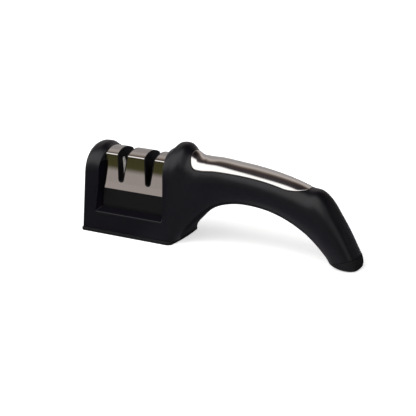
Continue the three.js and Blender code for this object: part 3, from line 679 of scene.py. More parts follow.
def corner_block(outer_edge, lower_edge, mitre):
    """The window's corner, where the side bevel and the rail's bevel meet on a mitre. Rows run up the
    outer edge of the side bevel and columns along the outer edge of the rail, both from the corner."""
    down = np.linspace(0, 1, len(mitre))[:, None]
    along = down.T
    across = np.nan_to_num(along / np.maximum(down, 1e-9))[..., None]
    to_side = outer_edge[:, None] + across * (mitre - outer_edge)[:, None]
    to_rail = lower_edge[None] + (down / np.maximum(along, 1e-9))[..., None] * (mitre - lower_edge)[None]
    return np.where((along <= down)[..., None], to_side, to_rail)


def half_shell(name, is_back):
    """One half of the housing: the skin with its window, the window's bevels and rail, and lips inside
    the bay. The back half is the front one mirrored. Also gives, for the end wall's bevel and the
    neck's, the heights of its rows and the lesser width of the bevel at each row and the row above."""
    shell = Patches(flip=is_back)
    widths = []
    columns = np.linspace(0, 1, 7)
    end_x = np.concatenate([END_SIDE_ROUND * (1 - np.cos(np.linspace(0, math.pi / 2, 9))), [2.8, 3.8, 4.9]])
    wall_edge = BAY_START - left_bevel(side_heights(WALL_PROBE))
    wall_edge[:EDGE_ROW] = wall_edge[EDGE_ROW]
    neck_edge = BAY_END + right_bevel(side_heights(NECK_PROBE))
    neck_edge[:EDGE_ROW] = neck_edge[EDGE_ROW]

    wall_x = np.concatenate([
        np.broadcast_to(end_x, (ROWS, len(end_x))),
        END_TOP_ROUND + (wall_edge[:, None] - END_TOP_ROUND) * columns], axis=1)
    wall = skin(wall_x, row_turns(wall_x))
    shell.grid(wall)
    face = wall[:, :1] * np.stack([np.ones(8), np.linspace(0, 1, 8), np.ones(8)], axis=-1)
    shell.grid(face)

    last = np.linspace(np.interp(NECK_SPLIT, PLACE_X, PLACES), len(KEYS) - 1, 240)
    neck_x = np.concatenate([
        neck_edge[:, None] + (NECK_SPLIT - neck_edge[:, None]) * np.linspace(0, 1, 5)[:-1],
        np.broadcast_to(np.interp(last, PLACES, PLACE_X), (ROWS, len(last)))], axis=1)
    neck = skin(neck_x, row_turns(neck_x))
    shell.grid(neck)

    rail_x = np.broadcast_to(np.linspace(BAY_START, BAY_END, 33), (ROWS, 33))
    rail = skin(rail_x, row_turns(rail_x))[:RAIL_ROWS]
    shell.grid(rail)
    crest = np.stack([rail_x[0], np.full(33, -RAIL_INSIDE), np.full(33, RAIL_CREST)], axis=-1)
    down = np.linspace(0, 1, BEVEL_STEPS + 1)[:, None, None]
    shell.grid(rail[-1] * (1 - down) + crest * down)
    inside = np.stack([crest, crest * (1, 1, 0) + (0, 0, 10), crest * (1, 1, 0) + (0, 0, SOLE_TOP)])
    shell.grid(inside)

    for edge, bay_x, is_neck in ((wall[:, -1], BAY_START, False), (neck[:, 0], BAY_END, True)):
        at_bay = skin(np.full((ROWS, 1), bay_x), row_turns(np.full((ROWS, 1), bay_x)))[:, 0]
        inner_y = np.minimum(cover_half(at_bay[:, 2]) - COVER_GAP, RAIL_INSIDE)
        inner = np.stack([at_bay[:, 0], -np.minimum(inner_y, -at_bay[:, 1]), at_bay[:, 2]], axis=-1)
        inner[CREST_ROW] = (bay_x, -RAIL_INSIDE, RAIL_CREST)
        steps = np.linspace(0, 1, BEVEL_STEPS + 1)[None, :, None]
        upper = slice(CREST_ROW, None)
        side = edge[upper, None] * (1 - steps) + inner[upper, None] * steps
        shell.grid(side, flip=is_neck)

        low_x = np.broadcast_to(np.linspace(edge[0, 0], bay_x, BEVEL_STEPS + 1), (ROWS, BEVEL_STEPS + 1))
        low = skin(low_x, row_turns(low_x))[:RAIL_ROWS]
        shell.grid(low, flip=is_neck)
        mitre = edge[EDGE_ROW] + steps[0] * (inner[CREST_ROW] - edge[EDGE_ROW])
        block = corner_block(edge[EDGE_ROW:CREST_ROW + 1], low[-1], mitre)
        shell.grid(block, flip=is_neck, split=True)

        deep = np.array([1, 0.93, 0.85, 0.6])[None, :, None]
        centre = np.array([bay_x, 0, SPRING])
        lip = centre + (inner[upper, None] - centre) * deep
        shell.grid(lip, flip=is_neck)
        width = np.linalg.norm(inner[upper] - edge[upper], axis=1)
        widths.append((edge[upper, 2], np.minimum(width, np.append(width[1:], 0))))

    return shell.mesh(name, mirrored=is_back), widths


THIN_BEVEL = 0.15
ROUNDS_ACROSS = 2.6
SHORT_EDGE = 0.35
RAIL_DEPTH = 3.0
ROOM_SHARE = 0.4
LEAST_WALL = 0.05
BESIDE_WALL = 5.0
BESIDE_NECK = 2.0
FACING = 0.4
BEVEL_TOP = 50.0
PARTING_REACH = 0.3


def edge_share(spot, length, widths, edge_round):
    """How much of the full rounding an edge of the window takes: all of it where the bevel beside it is
    wide, and none where the bevel runs out towards the crest. The short edges that cross the bevel there
    take none."""
    x, z = (spot[:, 0] - END_WALL) / MM, spot[:, 2] / MM
    width = np.where(x < (BAY_START + BAY_END) / 2, np.interp(z, *widths[0]), np.interp(z, *widths[1]))
    share = np.clip((width - THIN_BEVEL) / (ROUNDS_ACROSS * edge_round / MM), 0, 1)
    return np.where((z > RAIL_CREST + 0.5) & (length < SHORT_EDGE * MM), 0.0, share)


def parting_share(spot, length):
    """All of the rounding for edges on the centre plane, where the half shells meet, and none elsewhere."""
    return np.where(np.abs(spot[:, 1]) < PARTING_REACH * MM, 1.0, 0.0)


def wall_share(data, shell):
    """How much of the full wall each vertex takes: all of it, but less along the rail, where the wall is
    held to a share of the rail's depth, which runs out at the crest."""
    x, _, z = (gathered(data.vertices, "co", 3) / MM - ORIGIN).T
    room = np.interp(z, [RAIL_EDGE, RAIL_CREST], [RAIL_DEPTH, 0])
    share = np.clip(ROOM_SHARE * room * MM / shell, LEAST_WALL, 1)
    beside = (x > BAY_START - BESIDE_WALL) & (x < BAY_END + BESIDE_NECK) & (z < RAIL_CREST + 0.02)
    return np.round(np.where(beside, share, 1.0), 2)


def window_bevels(data):
    """1 for the faces of the rail's bevel and of the end wall's bevel below its top, 0 for all other
    faces."""
    x, y, z = (gathered(data.polygons, "center", 3) / MM - ORIGIN).T
    out, _, up = gathered(data.polygons, "normal", 3).T
    beside = x > BAY_START - BESIDE_WALL
    rail = beside & (x < BAY_END) & (z > RAIL_EDGE + 0.3) & (z < RAIL_CREST - 0.1)
    rail &= (np.abs(y) > RAIL_INSIDE) & (up > FACING)
    wall = beside & (x < BAY_START - 0.05) & (z > RAIL_EDGE) & (z < BEVEL_TOP) & (out > FACING)
    return (rail | wall).astype(np.int32)


def lathe(profile, count):
    """A profile of radius and height turned once about the z axis, as rows of points from the first to
    the last."""
    turn = np.linspace(0, 2 * math.pi, count, endpoint=False)
    profile = np.asarray(profile, float)
    return np.stack([
        profile[:, :1] * np.cos(turn), profile[:, :1] * np.sin(turn), profile[:, 1:] + 0 * turn], axis=-1)


def leaf_half(distance, grow):
    """Half the leaf's width at a distance from its blunt front end: cubic round in front, elliptic tip
    behind."""
    length = LEAF_LENGTH + 2 * grow
    front = np.clip(distance / LEAF_BLUNT, 0, 1)
    tip = np.clip((length - distance) / LEAF_TIP, 0, 1)
    blunt = (1 - (1 - front) ** 3) ** (1 / 3)
    point = np.sqrt(1 - (1 - tip) ** 2)
    taper = 1 - LEAF_TAPER * distance / length
    return np.maximum((LEAF_HALF + grow) * taper * blunt * point, LEAF_LEAST + grow)


def over_grip(x, y, lift):
    """A point above the grip's top at distance x and side y: the section's upper curve, raised square to
    it."""
    bottom, _, below, above, half, _, round_top, _ = section(x)
    ratio = y / half
    level = (1 - np.abs(ratio) ** round_top) ** (1 / round_top)
    ny = np.sign(ratio) * np.abs(ratio) ** (round_top - 1) / half
    nz = level ** (round_top - 1) / above
    size = np.sqrt(ny ** 2 + nz ** 2)
    z = bottom[..., 1] + below + above * level
    return np.stack([x + 0 * y, y + lift * ny / size, z + lift * nz / size], axis=-1)


def leaf_grid(grow, stations, steps):
    """Distances along the leaf and places across it, close together towards its ends and edges."""
    length = LEAF_LENGTH + 2 * grow
    distance = length * (1 - np.cos(np.linspace(0, math.pi, stations))) / 2
    across = np.sin(np.linspace(-math.pi / 2, math.pi / 2, steps))
    distance = np.broadcast_to(distance, (steps, stations))
    half = leaf_half(distance, grow)
    return distance, across[:, None] * half, half


def closed_plate(plate, top, bottom):
    """Two like grids, joined round their edges into one closed plate."""
    plate.grid(top)
    plate.grid(bottom, flip=True)
    plate.grid(np.stack([bottom[0], top[0]]))
    plate.grid(np.stack([top[-1], bottom[-1]]))
    plate.grid(np.stack([top[:, 0], bottom[:, 0]]))
    plate.grid(np.stack([bottom[:, -1], top[:, -1]]))


def leaf_plate(name, low, high, grow, edge, stations, steps):
    """The leaf between two heights over the grip, with its upper edge rounded."""
    distance, y, half = leaf_grid(grow, stations, steps)
    x = LEAF_START - grow + distance
    margin = np.minimum(half - np.abs(y), np.minimum(distance, LEAF_LENGTH + 2 * grow - distance))
    rest = np.clip(1 - margin / max(edge, 1e-6), 0, 1)
    drop = edge * (1 - np.sqrt(1 - rest ** 2))
    plate = Patches()
    closed_plate(plate, over_grip(x, y, high - drop), over_grip(x, y, low + 0 * x))
    return plate.mesh(name)


def screw_seat(name):
    """The middle of the face under the head of a screw that is driven in from the back."""
    low, high = (np.array(corner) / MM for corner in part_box(name))
    seat = (low + high) / 2 - ORIGIN
    seat[1] = high[1] - SCREW_HEIGHT
    return seat


def to_back(points):
    """Points of a lathed body, turned so that its axis points out of the back."""
    return np.stack([points[..., 0], points[..., 2], -points[..., 1]], axis=-1)


def shell_cutter():
    """What is cut from the half shells: the leaf's pocket and the sinks of the three screws in the back."""
    pocket = leaf_plate("cutter", LEAF_PROUD - LEAF_SHEET - LEAF_GAP, POCKET_TOP, LEAF_GAP, 0, 61, 21)
    cutter = bpy.data.objects.new("cutter", pocket)
    bpy.context.scene.collection.objects.link(cutter)
    work = bmesh.new()
    work.from_mesh(cutter.data)
    for name in HOUSING_SCREWS:
        sink = lathe([(0, 0), (SINK_RADIUS, 0), (SINK_RADIUS, SINK_LENGTH), (0, SINK_LENGTH)], 40)
        data = grid_mesh("sink", to_back(sink) + screw_seat(name), closed=True)
        work.from_mesh(data)
        bpy.data.meshes.remove(data)
    bmesh.ops.recalc_face_normals(work, faces=work.faces)
    work.to_mesh(cutter.data)
    work.free()
    return cutter


def rounding(width, segments):
    """The modifier that rounds the weighted edges."""
    return "BEVEL", {
        "width": width, "segments": segments, "limit_method": "WEIGHT", "use_clamp_overlap": False}


def walled(thickness, **settings):
    """The modifier that gives a skin its wall on the inside."""
    return "SOLIDIFY", {"thickness": thickness, "offset": -1.0, "use_rim": True, **settings}


class HousingOperator(bpy.types.Operator):
    """The two moulded half shells, with the window, the leaf's pocket and the screw sinks"""

    bl_idname = "sharpener.housing"
    bl_label = "Half shells"

    def execute(self, context):
        size = sizes()
        material = plastic_material("satin_plastic", colours().plastic, 0.34, size.grain, 0.42)
        matt = plastic_material("matt_plastic", colours().plastic, 0.5, size.grain, 0.02)
        cutter = shell_cutter()
        for side, is_back in (("front", False), ("back", True)):
            data, widths = half_shell(f"shell_{side}", is_back)
            weigh_edges(data, lambda spot, length: edge_share(spot, length, widths, size.edge_round))
            data = worked(data, rounding(size.edge_round, 3))
            data = worked(data, walled(size.shell, vertex_group="wall"), wall=wall_share(data, size.shell))
            weigh_edges(data, parting_share, angle=60.0)
            data = worked(
                data, rounding(size.parting_round, 2),
                ("BOOLEAN", {"object": cutter, "operation": "DIFFERENCE", "solver": "EXACT"}))
            add_piece(f"half_shell_{side}", data, material, "housing", f"housing_{side}")
            data.materials.append(matt)
            data.polygons.foreach_set("material_index", window_bevels(data))
        bpy.data.objects.remove(cutter)
        return {"FINISHED"}


# Steel cover, leaf, base and sharpening stages

FOLD_STEPS = 9
CROWN_STEPS = 40


def cover_profile(fold):
    """Half the cover's profile from its lower edge to the ridge: the leaning plate, an arc round the
    fold, and the arc of the crown. Given as y, z points and their distances along the profile."""
    radius = (COVER_FOLD_HALF ** 2 + COVER_CROWN ** 2) / (2 * COVER_CROWN)
    centre = COVER_FOLD + COVER_CROWN - radius
    lean = math.atan(COVER_LEAN)
    slope = math.asin(COVER_FOLD_HALF / radius)
    back_off = fold * math.tan((math.pi / 2 - lean - slope) / 2)
    plate_up = np.array([math.sin(lean), math.cos(lean)])
    fold_spot = np.array([-COVER_FOLD_HALF, COVER_FOLD])
    foot = fold_spot - plate_up * (COVER_FOLD - COVER_BOTTOM) / math.cos(lean)
    start = fold_spot - plate_up * back_off
    out = np.array([-math.cos(lean), math.sin(lean)])
    middle = start - out * fold
    turn = np.linspace(math.pi - lean, math.pi / 2 + slope, FOLD_STEPS)
    bend = middle + fold * np.stack([np.cos(turn), np.sin(turn)], axis=-1)
    crown_from = math.pi / 2 + math.asin(min(1, (-bend[-1, 0]) / radius))
    crown_turn = np.linspace(crown_from, math.pi / 2, CROWN_STEPS)[1:]
    crown = np.stack([radius * np.cos(crown_turn), centre + radius * np.sin(crown_turn)], axis=-1)
    step = bend[-1, 1] - centre - radius * math.sin(crown_from)
    crown[:, 1] += step * np.linspace(1, 0, CROWN_STEPS - 1)
    line = np.concatenate([[foot], bend, crown])
    return line, np.concatenate([[0], np.cumsum(np.linalg.norm(np.diff(line, axis=0), axis=1))])


def slot_half(z):
    """Half a knife slot's width at a height: a round floor, then straight sides that open upwards."""
    floor = SLOT_FLOOR + SLOT_LOW
    slope = (SLOT_HIGH - SLOT_LOW) / (COVER_FOLD - floor)
    low = np.sqrt(np.clip(SLOT_LOW ** 2 - (floor - z) ** 2, 0, None))
    return np.where(z < SLOT_FLOOR, 0, np.where(z < floor, low, SLOT_LOW + slope * (z - floor)))


def cover_sheet(name):
    """The cover's outer face: its profile carried along x, in three panels that leave the slots open."""
    line, along = cover_profile(sizes().fold_radius / MM)
    lean = math.cos(math.atan(COVER_LEAN))
    lows = np.linspace(COVER_BOTTOM, SLOT_FLOOR, 6)[:-1]
    round_floor = SLOT_FLOOR + SLOT_LOW * (1 - np.cos(np.linspace(0, math.pi / 2, 11)))
    highs = np.linspace(SLOT_FLOOR + SLOT_LOW, COVER_FOLD - 1.2, 16)[1:]
    plate = (np.concatenate([lows, round_floor, highs]) - COVER_BOTTOM) / lean
    rest = along[along > plate[-1] + 0.3]
    place = np.concatenate([plate, rest])
    y = np.interp(place, along, line[:, 0])
    z = np.interp(place, along, line[:, 1])
    y = np.concatenate([y, -y[-2::-1]])
    z = np.concatenate([z, z[-2::-1]])
    gap = slot_half(z)
    left = np.full_like(z, BAY_START + COVER_GAP)
    right = np.full_like(z, BAY_END - COVER_GAP)
    sheet = Patches()
    panels = ((left, FINE_SLOT - gap), (FINE_SLOT + gap, COARSE_SLOT - gap), (COARSE_SLOT + gap, right))
    for start, end in panels:
        share = np.linspace(0, 1, 15)
        x = start[:, None] + (end - start)[:, None] * share
        sheet.grid(np.stack([x, y[:, None] + 0 * x, z[:, None] + 0 * x], axis=-1))
    return sheet.mesh(name)


class CoverOperator(bpy.types.Operator):
    """The bent steel cover with its two knife slots"""

    bl_idname = "sharpener.cover"
    bl_label = "Steel cover"

    def execute(self, context):
        material = brushed_material("brushed_cover", colours().steel, 0.016, (5200.0, 60.0, 60.0), 0.00001)
        data = worked(cover_sheet("cover"), walled(sizes().cover_sheet))
        add_piece("cover", data, material, "cover_steel", "steel_cover")
        return {"FINISHED"}


class LeafOperator(bpy.types.Operator):
    """The polished steel leaf let into the grip"""

    bl_idname = "sharpener.leaf"
    bl_label = "Polished leaf"

    def execute(self, context):
        streaks = (90.0, 1500.0, 1500.0)
        material = brushed_material("polished_leaf", colours().polished, 0.09, streaks, 0.000004)
        data = leaf_plate("leaf", LEAF_PROUD - LEAF_SHEET, LEAF_PROUD, 0.0, 0.5, 181, 61)
        add_piece("leaf", data, material, "polished_steel", "handle_inlay")
        return {"FINISHED"}


def footprint(inset):
    """Outline of the base drawn in by inset: round corners at the end wall, and a bowed end under the
    neck with softer corners. Points run once round, from the front corner of the end wall."""
    half = SOLE_HALF - inset
    corner = max(SOLE_CORNER - inset, LEAST_CORNER)
    start = inset - END_DRAFT + corner
    end = SOLE_END - inset
    neck = max(SOLE_NECK_CORNER - inset, LEAST_CORNER)
    share = np.linspace(0, 1, 13)[:-1, None]

    def bend(a, b, c):
        a, b, c = (np.array(spot, float) for spot in (a, b, c))
        return (1 - share) ** 2 * a + 2 * share * (1 - share) * b + share ** 2 * c

    def run(a, b):
        wide = np.linspace(0, 1, 25)[:-1, None]
        return np.array(a, float) * (1 - wide) + np.array(b, float) * wide

    def arc(x, y, start):
        turn = start + share * math.pi / 2
        return np.concatenate([x + corner * np.cos(turn), y + corner * np.sin(turn)], axis=1)

    return np.concatenate([
        run((start, -half), (end - neck, -half)),
        bend((end - neck, -half), (end, -half), (end, -half + neck)),
        bend((end, -half + neck), (end + SOLE_BOW, 0), (end, half - neck)),
        bend((end, half - neck), (end, half), (end - neck, half)),
        run((end - neck, half), (start, half)),
        arc(start, half - corner, math.pi / 2),
        run((start - corner, half - corner), (start - corner, -half + corner)),
        arc(start, -half + corner, math.pi),
    ])


class SoleOperator(bpy.types.Operator):
    """The rubber sole under the head, with its rounded lip"""

    bl_idname = "sharpener.sole"
    bl_label = "Rubber sole"

    def execute(self, context):
        turn = np.linspace(-math.pi / 2, math.pi / 2, 11)
        inset = 0.2 - SOLE_LIP * np.cos(turn)
        height = np.where(turn < 0, SOLE_LIP, SOLE_TOP - SOLE_LIP) + SOLE_LIP * np.sin(turn)
        rings = [np.insert(footprint(one), 2, z, axis=1) for one, z in zip(inset, height)]
        low = np.array([SOLE_MIDDLE, 0, 0]) + 0 * rings[0]
        high = low + (0, 0, SOLE_TOP)
        rings = np.stack([low, (low + rings[0]) / 2, *rings, (high + rings[-1]) / 2, high])
        material = rubber_material("dull_rubber", colours().rubber)
        add_piece("sole", grid_mesh("sole", rings, closed=True), material, "rubber", "base_sole")
        return {"FINISHED"}


class FootOperator(bpy.types.Operator):
    """The rubber foot on the tail: it bulges from the tail's end, then turns in to a flat pad"""

    bl_idname = "sharpener.foot"
    bl_label = "Tail foot"

    def execute(self, context):
        count = 120
        turn = np.linspace(0, 2 * math.pi, count, endpoint=False)
        last = np.full(count, PLACE_X[-1])
        folded = np.arcsin(np.sin(turn))
        side = np.where(np.cos(turn) < 0, -1.0, 1.0)[:, None] * (0, 1, 0) + (1, 0, 1)
        out = np.array([KEYS[-1, 3] - KEYS[-1, 1], 0, KEYS[-1, 0] - KEYS[-1, 2]])
        out /= np.linalg.norm(out)
        flush = skin(last, folded) * side
        heel = 0.5 + (flush[:, 0] - flush[:, 0].mean()) / np.ptp(flush[:, 0])
        rim = skin(last, folded, -FOOT_PROUD * heel) * side + out * FOOT_GAP
        middle = rim.mean(axis=0)
        reach = np.hypot(rim[:, 0] - middle[0], rim[:, 1])[:, None]
        pad = np.array([middle[0] + PAD_SHIFT, 0, 0]) + (rim - middle) * (1, 1, 0) * (1 - PAD_INSET / reach)
        share = np.linspace(0, 1, 17)[:, None, None]
        full = (0.3 + 0.7 * heel)[:, None]
        fall = (1 - np.cos(share * math.pi / 2)) * full + share * (1 - full)
        drop = np.sin(share * math.pi / 2) * full + share * (1 - full)
        body = rim * (1 - fall) + pad * fall
        body[..., 2] = rim[:, 2] * (1 - drop[..., 0])
        bulge = 1 + FOOT_BULGE * np.sin(share[..., 0] * math.pi) * heel
        body[..., 0] = middle[0] + (body[..., 0] - middle[0]) * bulge
        body[..., 1] *= bulge
        plug = skin(last, folded, PLUG_INSET) * side
        top = plug - out * PLUG_LENGTH
        rings = [top.mean(axis=0) + 0 * plug, top, plug + out * FOOT_GAP, rim, *body[1:]]
        centre = pad.mean(axis=0)
        rings = np.stack([*rings, (centre + pad) / 2, centre + 0 * pad])
        data = grid_mesh("foot", rings[:, ::-1], closed=True)
        add_piece("foot", data, bpy.data.materials["dull_rubber"], "rubber", "tail_foot", angle=50.0)
        return {"FINISHED"}


class StagesOperator(bpy.types.Operator):
    """The crossed ceramic rods of the fine stage, and the finish of the carbide blades"""

    bl_idname = "sharpener.stages"
    bl_label = "Rods and blades"

    def execute(self, context):
        material = ceramic_material("ground_ceramic", colours().ceramic)
        bend = np.linspace(0, math.pi / 2, 6)
        corner = np.stack([np.cos(bend), np.sin(bend)], axis=-1)
        upper = np.array([ROD_RADIUS, ROD_HALF]) + ROD_EDGE * (corner - 1)
        profile = np.concatenate([[(0, -ROD_HALF)], (upper * (1, -1))[::-1], upper, [(0, ROD_HALF)]])
        rod = lathe(profile, 64)
        for side, sign in (("front", 1), ("back", -1)):
            low, high = (np.array(corner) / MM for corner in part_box(f"ceramic_rod_{side}"))
            centre = (low + high) / 2
            cosine, sine = math.cos(ROD_LEAN), sign * math.sin(ROD_LEAN)
            turned = np.stack([
                rod[..., 0] * cosine - rod[..., 2] * sine,
                rod[..., 1],
                rod[..., 0] * sine + rod[..., 2] * cosine], axis=-1)
            data = grid_mesh(f"rod_{side}", turned + centre - ORIGIN, closed=True)
            add_piece(f"rod_{side}", data, material, "ceramic", f"ceramic_rod_{side}")
        ground = brushed_material("ground_carbide", colours().carbide, 0.34, (900.0, 900.0, 60.0), 0.00001)
        for side in ("front", "back"):
            dress(f"carbide_blade_{side}", ground)
        return {"FINISHED"}


def dress(name, material):
    """Gives a CAD node that stays in view its material."""
    data = NODES[name].data
    data.materials.clear()
    data.materials.append(material)


# Section of the lip in a knife slot: depth under the cover's outer face, and distance from the slot's edge
LIP_SECTION = (
    (0.95, 0.8), (0.22, 0.8), (0.09, 0.76), (0.04, 0.64), (0.04, 0.14), (0.06, 0.06), (0.12, 0.04),
    (0.95, 0.04), (0.95, 0.8))


def slot_liner(name, centre):
    """The carrier's moulded lip in a knife slot: a ring of even section that follows the slot down the
    front plate, round its floor, over the crown and down the back, just under the cover's outer face."""
    line, along = cover_profile(sizes().fold_radius / MM)
    whole = np.concatenate([line, line[-2::-1] * (-1, 1)])
    distance = np.concatenate([along, 2 * along[-1] - along[-2::-1]])
    upright = math.cos(math.atan(COVER_LEAN))
    floor = SLOT_FLOOR + SLOT_LOW
    slope = (SLOT_HIGH - SLOT_LOW) / (COVER_FOLD - floor)
    level = (floor - COVER_BOTTOM) / upright
    turn = np.linspace(0, math.pi / 2, 11)
    straight = np.linspace(level, along[FOLD_STEPS], 14)[1:]
    crown = distance[FOLD_STEPS + 1:-FOLD_STEPS - 1]
    rest = np.concatenate([straight, crown, 2 * along[-1] - straight[::-1]])
    rings = []
    for depth, inset in LIP_SECTION:
        radius = SLOT_LOW - inset
        start = level - radius * np.cos(turn) / upright
        place = np.concatenate([start, rest, 2 * along[-1] - start[::-1]])
        height = np.interp(rest, distance, whole[:, 1])
        half = np.concatenate([
            radius * np.sin(turn), radius + slope * (height - floor), radius * np.sin(turn)[::-1]])
        place = np.concatenate([place, place[-2:0:-1]])
        half = np.concatenate([-half, half[-2:0:-1]])
        ahead, behind = (np.stack([np.interp(place + step, distance, whole[:, axis]) for axis in (0, 1)])
                         for step in (0.05, -0.05))
        run = (ahead - behind) / np.linalg.norm(ahead - behind, axis=0)
        y = np.interp(place, distance, whole[:, 0]) + depth * run[1]
        z = np.interp(place, distance, whole[:, 1]) - depth * run[0]
        rings.append(np.stack([centre + half, y, z], axis=-1))
    return grid_mesh(name, np.stack(rings), closed=True)


class CarrierOperator(bpy.types.Operator):
    """The slotted carrier with its lips in the knife slots, and the base plate"""

    bl_idname = "sharpener.carrier"
    bl_label = "Carrier and base plate"

    def execute(self, context):
        material = plastic_material("moulded_inner", colours().inner, 0.5, 0.0005, 0.22)
        for name in ("carrier_front", "carrier_back", "base_plate"):
            dress(name, material)
        for name, centre in (("fine_slot_lip", FINE_SLOT), ("coarse_slot_lip", COARSE_SLOT)):
            add_piece(name, slot_liner(name, centre), material, "inner_plastic")
        return {"FINISHED"}


class ScrewOperator(bpy.types.Operator):
    """The screws: cross-recessed heads in the back, and the finish of the hidden ones"""

    bl_idname = "sharpener.screws"
    bl_label = "Screws"

    def execute(self, context):
        material = brushed_material("zinc_plate", colours().zinc, 0.32, (600.0, 600.0, 600.0), 0.00001)
        for name in HOUSING_SCREWS:
            low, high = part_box(name)
            length = (high.y - low.y) / MM - SCREW_HEIGHT
            dome = np.sin(np.linspace(0, math.pi / 2, 13)) * SCREW_HEAD
            out = np.concatenate([np.linspace(0, 2.0, 20), dome[dome > 2.05]])
            rise = np.sqrt(np.clip(1 - (out / SCREW_HEAD) ** 2, 0, 1))
            head = np.stack([out, SCREW_FLANGE + SCREW_DOME * rise], axis=-1)
            shank = [(SCREW_HEAD, 0.0), (SCREW_SHANK, 0.0), (SCREW_SHANK, SCREW_TAPER - length),
                     (SCREW_TIP, -length), (0, -length)]
            body = lathe(np.concatenate([head, shank]), 96)
            cross = np.minimum(np.abs(body[..., 0]), np.abs(body[..., 1]))
            radius = np.hypot(body[..., 0], body[..., 1])
            is_top = body[..., 2] > SCREW_FLANGE + 0.1
            slit = 1 - smoothstep((cross - CROSS_HALF) / 0.16)
            depth = CROSS_DEPTH * slit * (1 - smoothstep((radius - CROSS_REACH) / 0.5))
            body[..., 2] -= np.where(is_top, depth, 0)
            data = grid_mesh(name, to_back(body) + screw_seat(name), closed=True, flip=True)
            add_piece(name.replace("housing_", "shell_"), data, material, "screws", name, angle=35.0)
        for name in HIDDEN_SCREWS:
            dress(name, material)
        return {"FINISHED"}


# Stage

TENT_RADIUS = 1570.0
TENT_HALF = 2400.0
TENT_BANDS = [
    (0.0, (0.4, 0.385, 0.385, 1)), (0.15, (0.42, 0.4, 0.4, 1)), (0.2, (0.56, 0.52, 0.5, 1)),
    (0.26, (0.54, 0.5, 0.48, 1)), (0.305, (0.28, 0.23, 0.195, 1)), (0.345, (0.13, 0.107, 0.095, 1)),
    (0.4, (0.06, 0.046, 0.046, 1)), (0.53, (0.05, 0.045, 0.05, 1)), (0.55, (0.11, 0.105, 0.11, 1)),
    (0.605, (1.5, 1.5, 1.5, 1)), (0.885, (1.5, 1.5, 1.5, 1)), (0.915, (0.05, 0.046, 0.034, 1)),
    (0.98, (0.045, 0.042, 0.02, 1)), (1.0, (0.1, 0.097, 0.037, 1))]
HORIZON_GREY = (0.48, 0.443, 0.428)
HORIZON = 0.9934
DARK_TOP = 0.53

# Where the tent's bands change along x, in metres from the frame's origin, and by how much
SLANT_START = -0.45
SLANT_LIMIT = 0.75
SLANT = 0.1
HEAD_SLANT = 0.16
LEVEL_START = 0.6
SHIFT_START = -0.35
SHIFT = 0.05
GRIP_DIM_START = -0.12
END_DIM_START = 0.85
DIMMING = 0.8
FAR_END = 1.4
FAR_END_RELIEF = 0.2
FLOOR_HALF = 6000.0
FLOOR_LEVEL = -0.05

# Cards on the floor: name, ends along x, ends along y and height in millimetres from the frame's origin, glow
CARDS = (
    ("grey_apron", -TENT_HALF, TENT_HALF, -TENT_RADIUS, -820.0, -0.02, (0.52, 0.48, 0.465, 1)),
    ("dark_card", -900.0, -60.0, -820.0, 700.0, -0.02, (0.09, 0.085, 0.1, 1)),
    ("dim_card", -60.0, 900.0, -820.0, 700.0, -0.02, (0.22, 0.21, 0.24, 1)),
    ("near_card", 5.0, 170.0, -48.0, -6.0, -0.01, (0.42, 0.4, 0.44, 1)),
    # The dark card under the sharpener is painted shade: in its gloss it stands in for the shadow on the
    # floor beneath it.
    ("painted_shade_card", -45.0, 150.0, -6.0, 60.0, -0.01, (0.04, 0.04, 0.045, 1)),
)
CAMERA_TARGET = (-0.01103, 0, 0.0239)
CAMERA_DISTANCE = 0.9
CAMERA_TURN = math.radians(28.0)
CAMERA_RISE = math.radians(18.8)


def within(value):
    """A value held between 0 and 1."""
    return value.maths("MINIMUM", value.maths("MAXIMUM", value, 0.0), 1.0)


def rising(value, start, slope):
    """0 up to the start, and then up by the slope as far as 1."""
    return within((value - start) * slope)


def falling(value, end, slope):
    """1, and then down by the slope to 0 at the end."""
    return within((end - value) * slope)


def ray_glow(tree, *kinds):
    """1 for the named kinds of light path, and 0 for the others."""
    path = tree.nodes.new("ShaderNodeLightPath")
    seen = Value(tree, path.outputs[kinds[0]])
    for kind in kinds[1:]:
        seen = seen.maths("MAXIMUM", seen, Value(tree, path.outputs[kind]))
    return seen


def stage_piece(name, data, material):
    data.materials.append(material)
    piece = bpy.data.objects.new(name, data)
    bpy.context.scene.collection.objects.link(piece)
    return piece


def pale_floor():
    """A wide flat floor that is white to the eye and in the metal, and still takes the shadow."""
    side = np.linspace(-FLOOR_HALF, FLOOR_HALF, 3)
    points = np.stack(np.broadcast_arrays(side[None], side[:, None], FLOOR_LEVEL), axis=-1) - ORIGIN
    material, tree = new_material("pale_floor")
    matt = node(tree, "ShaderNodeBsdfDiffuse", None, {"Color": (*colours().floor, 1)})
    seen = ray_glow(tree, "Is Camera Ray", "Is Glossy Ray", "Is Transmission Ray")
    glow = node(tree, "ShaderNodeEmission", None, {"Color": (1, 1, 1, 1), "Strength": seen * 0.6})
    both = node(tree, "ShaderNodeAddShader", None, {0: matt, 1: glow})
    node(tree, "ShaderNodeOutputMaterial", None, {0: both})
    return stage_piece("floor", grid_mesh("floor", points), material)


